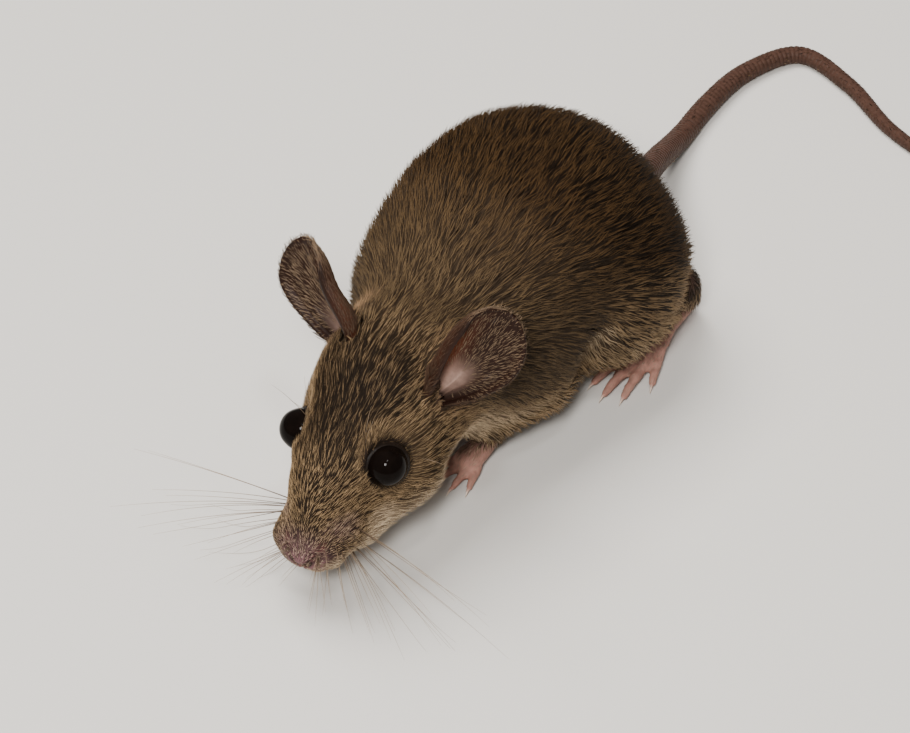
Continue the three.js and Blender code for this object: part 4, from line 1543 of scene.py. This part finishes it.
values = {2: stored("coat_region", "INT"), 3: source["Region"]}
here = fur.add("FunctionNodeCompare", values, data_type="INT", operation="EQUAL").outputs[0]
over_skin = {"Mesh": source["Geometry"], "Selection": here, "Seed": source["Seed"]}
amount = fur.maths("MULTIPLY", stored("coat_density"), source["Share"])
scatter = fur.add("GeometryNodeDistributePointsOnFaces", {**over_skin, "Density": amount})
spacing = source["Lock Spacing"]
crowding = fur.maths("DIVIDE", LOCKS_TRIED, fur.maths("MULTIPLY", spacing, spacing))
locks = fur.add(
    "GeometryNodeDistributePointsOnFaces",
    {**over_skin, "Distance Min": spacing, "Density Max": crowding},
    distribute_method="POISSON",
)
nearest = fur.add("GeometryNodeProximity", {0: locks.outputs["Points"]}, target_element="POINTS").outputs
# A tuft's tint has a random part and falls with its distance from the middle of its lock, which paints shade
# into the partings.
tint = fur.maths("SUBTRACT", chance(*TINT_VARIES, 11), fur.maths("DIVIDE", nearest["Distance"], spacing))
loft = fur.add("ShaderNodeMapRange", {"Value": tint, 3: LOFT[0], 4: LOFT[1]}).outputs[0]
loft = fur.maths("ADD", loft, chance(-LOFT_VARIES, LOFT_VARIES, 23))
grown = keep(scatter.outputs["Points"], "tint", tint)
grown = keep(grown, "to_lock", fur.vector("SUBTRACT", nearest["Position"], position), "FLOAT_VECTOR")
grown = keep(grown, "root", position, "FLOAT_VECTOR")
grown = keep(grown, "loft", loft)
print("nodes for the places:", len(coat_tree.nodes))

# %% A turned and scaled copy for each
SWIRL_SCALE = 0.5
SWIRL = 0.32

upright = fur.add(
    "FunctionNodeAxesToRotation",
    {0: stored("skin_normal", "FLOAT_VECTOR"), 1: stored("lie", "FLOAT_VECTOR")},
    primary_axis="Z",
    secondary_axis="Y",
)
swirl = fur.noise(position, SWIRL_SCALE, 1.0)
swirl = fur.ranged(swirl, 0.3, 0.7, -SWIRL, SWIRL)
sway = fur.maths("ADD", fur.maths("MULTIPLY", chance(-1.0, 1.0, 37), source["Jitter"]), swirl)
calm = fur.ranged(stored("coat_length"), 0.5, 2.8, 0.45, 1.0)
sway = fur.maths("MULTIPLY", sway, calm)
spin = fur.add("FunctionNodeAxisAngleToRotation", {"Axis": (0, 0, 1), "Angle": sway})
both = {0: upright.outputs[0], 1: spin.outputs[0]}
turned = fur.add("FunctionNodeRotateRotation", both, rotation_space="LOCAL").outputs[0]
long = fur.maths("MULTIPLY", stored("coat_length"), chance(0.65, 1.2, 41))
broad = fur.maths("MULTIPLY", stored("coat_width"), chance(0.7, 1.3, 53))
size = fur.add("ShaderNodeCombineXYZ", {0: broad, 1: long, 2: broad}).outputs[0]
shape = fur.add("GeometryNodeObjectInfo", {"Object": source["Tuft"]}).outputs["Geometry"]
values = {"Points": grown, "Instance": shape, "Rotation": turned, "Scale": size}
copies = fur.add("GeometryNodeInstanceOnPoints", values).outputs[0]
solid = fur.add("GeometryNodeRealizeInstances", {0: copies}).outputs[0]
print("nodes with the copies:", len(coat_tree.nodes))

# %% Drawn to its lock and laid on the skin
TIP_CURVE = 0.85
ROOT_BURIED = 0.02

gather = fur.maths("MULTIPLY", source["Gather"], stored("along"))
drawn = fur.scaled(stored("to_lock", "FLOAT_VECTOR"), gather)
drawn = fur.vector("ADD", position, drawn)


def beneath(value):
    """The skin's own value at the place nearest to each point, once it is drawn to its lock."""
    values = {"Mesh": source["Geometry"], "Value": value, "Sample Position": drawn}
    return fur.add("GeometryNodeSampleNearestSurface", values, data_type="FLOAT_VECTOR").outputs[0]


outward = fur.vector("NORMALIZE", beneath(stored("skin_normal", "FLOAT_VECTOR")))
climb = fur.maths("POWER", stored("along"), TIP_CURVE)
climb = fur.maths("MULTIPLY", climb, fur.maths("MULTIPLY", stored("coat_rise"), stored("loft")))
ridge = fur.maths("MULTIPLY", stored("thick"), stored("coat_width"))
lift = fur.maths("SUBTRACT", fur.maths("ADD", climb, ridge), ROOT_BURIED)
lifted = fur.scaled(outward, lift)
hugging = fur.vector("ADD", beneath(position), lifted)
straight = fur.vector("ADD", drawn, lifted)
values = {0: source["Hug"], 4: straight, 5: hugging}
final = fur.add("ShaderNodeMix", values, data_type="VECTOR").outputs[1]
solid = keep(solid, "over", outward, "FLOAT_VECTOR")
bent = fur.add("GeometryNodeSetPosition", {"Geometry": solid, "Position": final}).outputs[0]
smooth = fur.add("GeometryNodeSetShadeSmooth", {"Geometry": bent}).outputs[0]
dyed = fur.add("GeometryNodeSetMaterial", {"Geometry": smooth, "Material": source["Finish"]}).outputs[0]
fur.add("NodeGroupOutput", {0: dyed})
print("nodes in the coat's tree:", len(coat_tree.nodes))

# %% [markdown]
# Each tuft of the coat is a small patch of the map OFBake, at its root's place on an unwrap of
# the skin: the angle round the body's own long axis across the map and the distance from the
# nose up it, with a strip at the top for the ears. Feet and tail share the unwrap of the body.

# %% Unwrap of the skin
PATCH = 0.003
MARGIN = 0.01
UNWRAP_START = -11.5
UNWRAP_LENGTH = 62.0
STRIP = 0.78
STRIP_HEIGHT = 0.035


def unwrap(places):
    """Map coordinates in the unit square for places on the skin, in millimetres."""
    back = along_head(places)
    middle_x = np.interp(back, (0, 12), (EYES_MIDDLE[0], BODY_MIDDLE))
    middle_z = np.interp(back, (-8, 0, 12, 25), (6.5, 9.0, 10.0, 10.5))
    angle = np.arctan2(places[:, 0] - middle_x, places[:, 2] - middle_z)
    along = np.clip((back - UNWRAP_START) / UNWRAP_LENGTH, 0, 1)
    u = MARGIN + (1 - 2 * MARGIN) * (angle / (2 * math.pi) + 0.5)
    return np.stack((u, MARGIN + (STRIP - 2 * MARGIN) * along), 1)


def unwrap_strip(places):
    """The same for the ears, laid out in a strip of their own."""
    low, high = places.min(0), places.max(0)
    x, y, z = ((places - low) / (high - low)).T
    return np.stack((MARGIN + 0.49 * (x + y), STRIP + MARGIN + STRIP_HEIGHT * z), 1)


# %% Grow the coat
JITTER = 0.24
GATHER = 0.55
EAR_GATHER = 0.9
FIRST_SEED = 40
LOCK_SPACING = dict(zip(PIECES, (0.15, 0.165, 0.17, 0.2, 0.24, 0.27, 0.29, 0.29, 0.26, 0.22)))
TUFT_FLOOR = 0.02
TUFT_BROADEST = 0.18
TUFT_LONGEST = 4.9
SOFTNESS = 0.6
SCRATCH = ["root", "to_lock", "loft", "over", "thick", "across", "part", "ear_up", "ear_outer", "ear_inside"]
SCRATCH += list(on_skin)
share = 1.0


def grow(name):
    """The mesh of one piece of the coat, in millimetres."""
    piece = bpy.data.objects.new("growing", skin_mesh)
    bpy.context.scene.collection.objects.link(piece)
    modifier = piece.modifiers.new("coat", "NODES")
    modifier.node_group = coat_tree
    settings = {
        "Tuft": tuft,
        "Region": PIECES.index(name),
        "Share": share,
        "Seed": FIRST_SEED + PIECES.index(name),
        "Jitter": JITTER,
        "Hug": 0.0 if name == "ears" else 1.0,
        "Lock Spacing": LOCK_SPACING[name],
        "Gather": EAR_GATHER if name == "ears" else GATHER,
        "Finish": coat_finish,
    }
    for socket, value in settings.items():
        modifier[sockets[socket].identifier] = value
    return result_of(piece)


def drop_stretched(mesh):
    """Drops the few tufts whose points came to lie on two different parts of the skin."""
    tufts = points_of(mesh).reshape(-1, TUFT_POINTS, 3)

    def gap(first, second):
        return np.linalg.norm(tufts[:, first] - tufts[:, second], axis=1)

    breadth = np.maximum(gap(0, 1), gap(3, 4))
    wrong = (breadth > TUFT_BROADEST) | (gap(0, 3) + gap(3, 6) > TUFT_LONGEST)
    with editing(mesh) as work:
        work.verts.ensure_lookup_table()
        corners = np.flatnonzero(np.repeat(wrong, TUFT_POINTS))
        bmesh.ops.delete(work, geom=[work.verts[index] for index in corners], context="VERTS")
    return int(wrong.sum())


def without_scratch(mesh):
    """The mesh with only the numbers that its material reads."""
    for name in SCRATCH:
        if name in mesh.attributes:
            mesh.attributes.remove(mesh.attributes[name])
    return mesh


def add_map(mesh, name):
    """Each tuft as a small patch at its root's place on the skin's unwrap."""
    roots = vectors_of(mesh, "root")
    middle = unwrap_strip(roots) if name == "ears" else unwrap(roots)
    across, along = numbers_of(mesh, "across"), numbers_of(mesh, "along")
    spots = middle + PATCH * (np.stack((across, along), 1) - (0, 0.5))
    corners = read(mesh.loops, "vertex_index", 1, np.int32)[:, 0]
    layer = mesh.uv_layers.new(name="OFBake")
    layer.data.foreach_set("uv", spots[corners].astype(np.float32).ravel())


def finished(mesh):
    """In metres, clear of the floor, with normals that lean towards those of the skin."""
    soft = unit(normals_of(mesh) * (1 - SOFTNESS) + vectors_of(mesh, "over") * SOFTNESS)
    without_scratch(mesh)
    tips = points_of(mesh)
    tips[:, 2] = tips[:, 2].clip(TUFT_FLOOR)
    set_points(mesh, tips * MM)
    mesh.normals_split_custom_set_from_vertices(soft)
    return mesh


coat = []
for name in PIECES:
    mesh = grow(name)
    dropped = drop_stretched(mesh)
    add_map(mesh, name)
    piece = place("coat_" + name, finished(mesh), coat_finish)
    coat.append(piece)
    print(piece.name, triangles_of(mesh), "triangles,", dropped, "stretched tufts dropped")
bpy.data.objects.remove(tuft)

# %% Place the skin
skin = place_smooth("skin", without_scratch(skin_mesh), skin_finish)
print("skin placed")

# %% [markdown]
# ## Eyes, claws and whiskers
# A mouse's eye is a black bead that bulges out of its lids. The claws are small curved cones
# that rest on the floor. The whiskers grow in rows from the pads beside the nose and fan
# forwards, outwards and a little down. Each is a line of points with a radius at each, so one
# function makes the tubes of both.

# %% Eyeballs
CORNEA = 0.1


def eyeball(side):
    mesh = bpy.data.meshes.new("eyeball_" + side)
    with editing(mesh) as work:
        add_ball(work, (0, 0, 0), EYE_RADIUS, subdivisions=6)
    points = points_of(mesh)
    facing = points @ (HEAD_AXES @ gaze_of(side)) / EYE_RADIUS
    points *= (1 + CORNEA / EYE_RADIUS * ramp(facing, 0.5, 1.0))[:, None]
    set_points(mesh, points + EYES[side])
    return place_smooth("eyeball_" + side, mesh, eye_finish)


eyeballs = {side: eyeball(side) for side in SIDES}
print("eyeballs of", 2 * EYE_RADIUS, "mm")

# %% Claws
CLAW_LENGTH = 1.05
CLAW_RADIUS = 0.2
CLAW_ARCH = 0.14
CLAW_TIP_HIGH = 0.1
CLAW_SIDES = 8
CLAW_STEPS = 7
CLAW_FLOOR = 0.01


def claw_line(kind, side, toe):
    """From inside the end of the toe, over a low arch and down to the floor."""
    forward, joints = toe_line(toe, side)
    root, _ = joints[-1]
    root_high = FEET[kind]["toe_radius"] * 0.75 * 1.25
    t = np.linspace(0, 1, CLAW_STEPS)
    high = root_high + CLAW_ARCH * np.sin(t * math.pi) - (root_high - CLAW_TIP_HIGH) * t**1.8
    line = np.column_stack((root + np.outer(t * CLAW_LENGTH, forward), high))
    line = np.array([foot_place(kind, side) @ Vector(point) for point in line])
    return line, CLAW_RADIUS * (1 - 0.93 * t**1.3)


claw_lines = [claw_line(kind, side, toe) for kind in FEET for side in SIDES for toe in FEET[kind]["toes"]]
claws = place_tubes("claws", claw_lines, CLAW_SIDES, claw_finish, floor=CLAW_FLOOR)
print("claws:", len(claw_lines))

# %% Whiskers
WHISKER_ROWS = 5
WHISKER_COLUMNS = 6
WHISKER_RADIUS = 0.038
WHISKER_TIP_RADIUS = 0.007
WHISKER_SEED = 7
WHISKER_STEPS = 14
WHISKER_SIDES = 5
WHISKER_BURIED = 0.15
WHISKER_FLOOR = 0.3
WHISKER_EASE = 2.0
LONE_WHISKERS = [
    # root and heading on the left side in the head's frame, length
    ((3.4, 0.4, 3.2), (0.35, 0.15, 1.0), 6.0),
    ((3.0, 1.0, 3.4), (0.2, 0.4, 1.0), 4.5),
    ((5.2, 2.6, -2.6), (1.0, 0.3, -0.3), 3.0),
]
draw = np.random.default_rng(WHISKER_SEED)


def whisker(wanted, heading, length, droop, radius):
    """A hair that leaves the skin near the wanted place along its heading and sags towards
    its tip, and is eased off the floor where it would reach it."""
    root = nearest_of(head, wanted)
    t = np.linspace(0, 1, WHISKER_STEPS)[:, None]
    bend = draw.uniform(-0.08, 0.08, 3) * length
    line = from_head(root + unit(np.array(heading)) * (t * length - WHISKER_BURIED) + bend * t**2)
    line[:, 2] -= (droop * length * t**2)[:, 0]
    ease = WHISKER_EASE - WHISKER_FLOOR
    low = np.minimum(line[:, 2] - WHISKER_EASE, 0) / ease
    line[:, 2] = np.maximum(line[:, 2], WHISKER_EASE) - ease * (1 - np.exp(low))
    return line, radius * (1 - t[:, 0]) + WHISKER_TIP_RADIUS * t[:, 0]


whisker_lines = []
for side, sign in SIDES.items():
    for row in range(WHISKER_ROWS):
        for column in range(WHISKER_COLUMNS):
            wanted = (sign * (2.7 - 0.28 * column), -5.6 - 0.62 * column, -2.9 - 0.55 * row)
            swing = math.radians(8 + 11.5 * column + draw.uniform(-4, 4))
            upward = 0.32 - 0.20 * row + 0.05 * column + draw.uniform(-0.05, 0.05)
            heading = (sign * math.cos(swing), -math.sin(swing), upward)
            length = (17.5 - 2.3 * column - 0.9 * abs(row - 1.5)) * draw.uniform(0.75, 1.05)
            whisker_lines.append(whisker(wanted, heading, length, 0.10, WHISKER_RADIUS))
    for root, heading, length in LONE_WHISKERS:
        wanted, heading = on_side((root, heading), side)
        whisker_lines.append(whisker(wanted, heading, length, 0.06, 0.03))
whiskers = place_tubes("whiskers", whisker_lines, WHISKER_SIDES, whisker_finish)
print("whiskers:", len(whisker_lines))

# %% [markdown]
# ## In place of the imported parts
# The skin takes the place of every node of flesh, and each eyeball that of its own. The whole
# mouse is one still body.

# %% What replaces what
EYE_NODES = {"left": "eye_left", "right": "eye_right"}
flesh_nodes = [node for node in frame["nodes"] if node not in EYE_NODES.values()]
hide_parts(*flesh_nodes)
for side, node in EYE_NODES.items():
    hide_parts(node)
for piece in (skin, claws, whiskers, *eyeballs.values(), *coat):
    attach(piece, "root")
print("nodes that the skin replaces:", len(flesh_nodes))
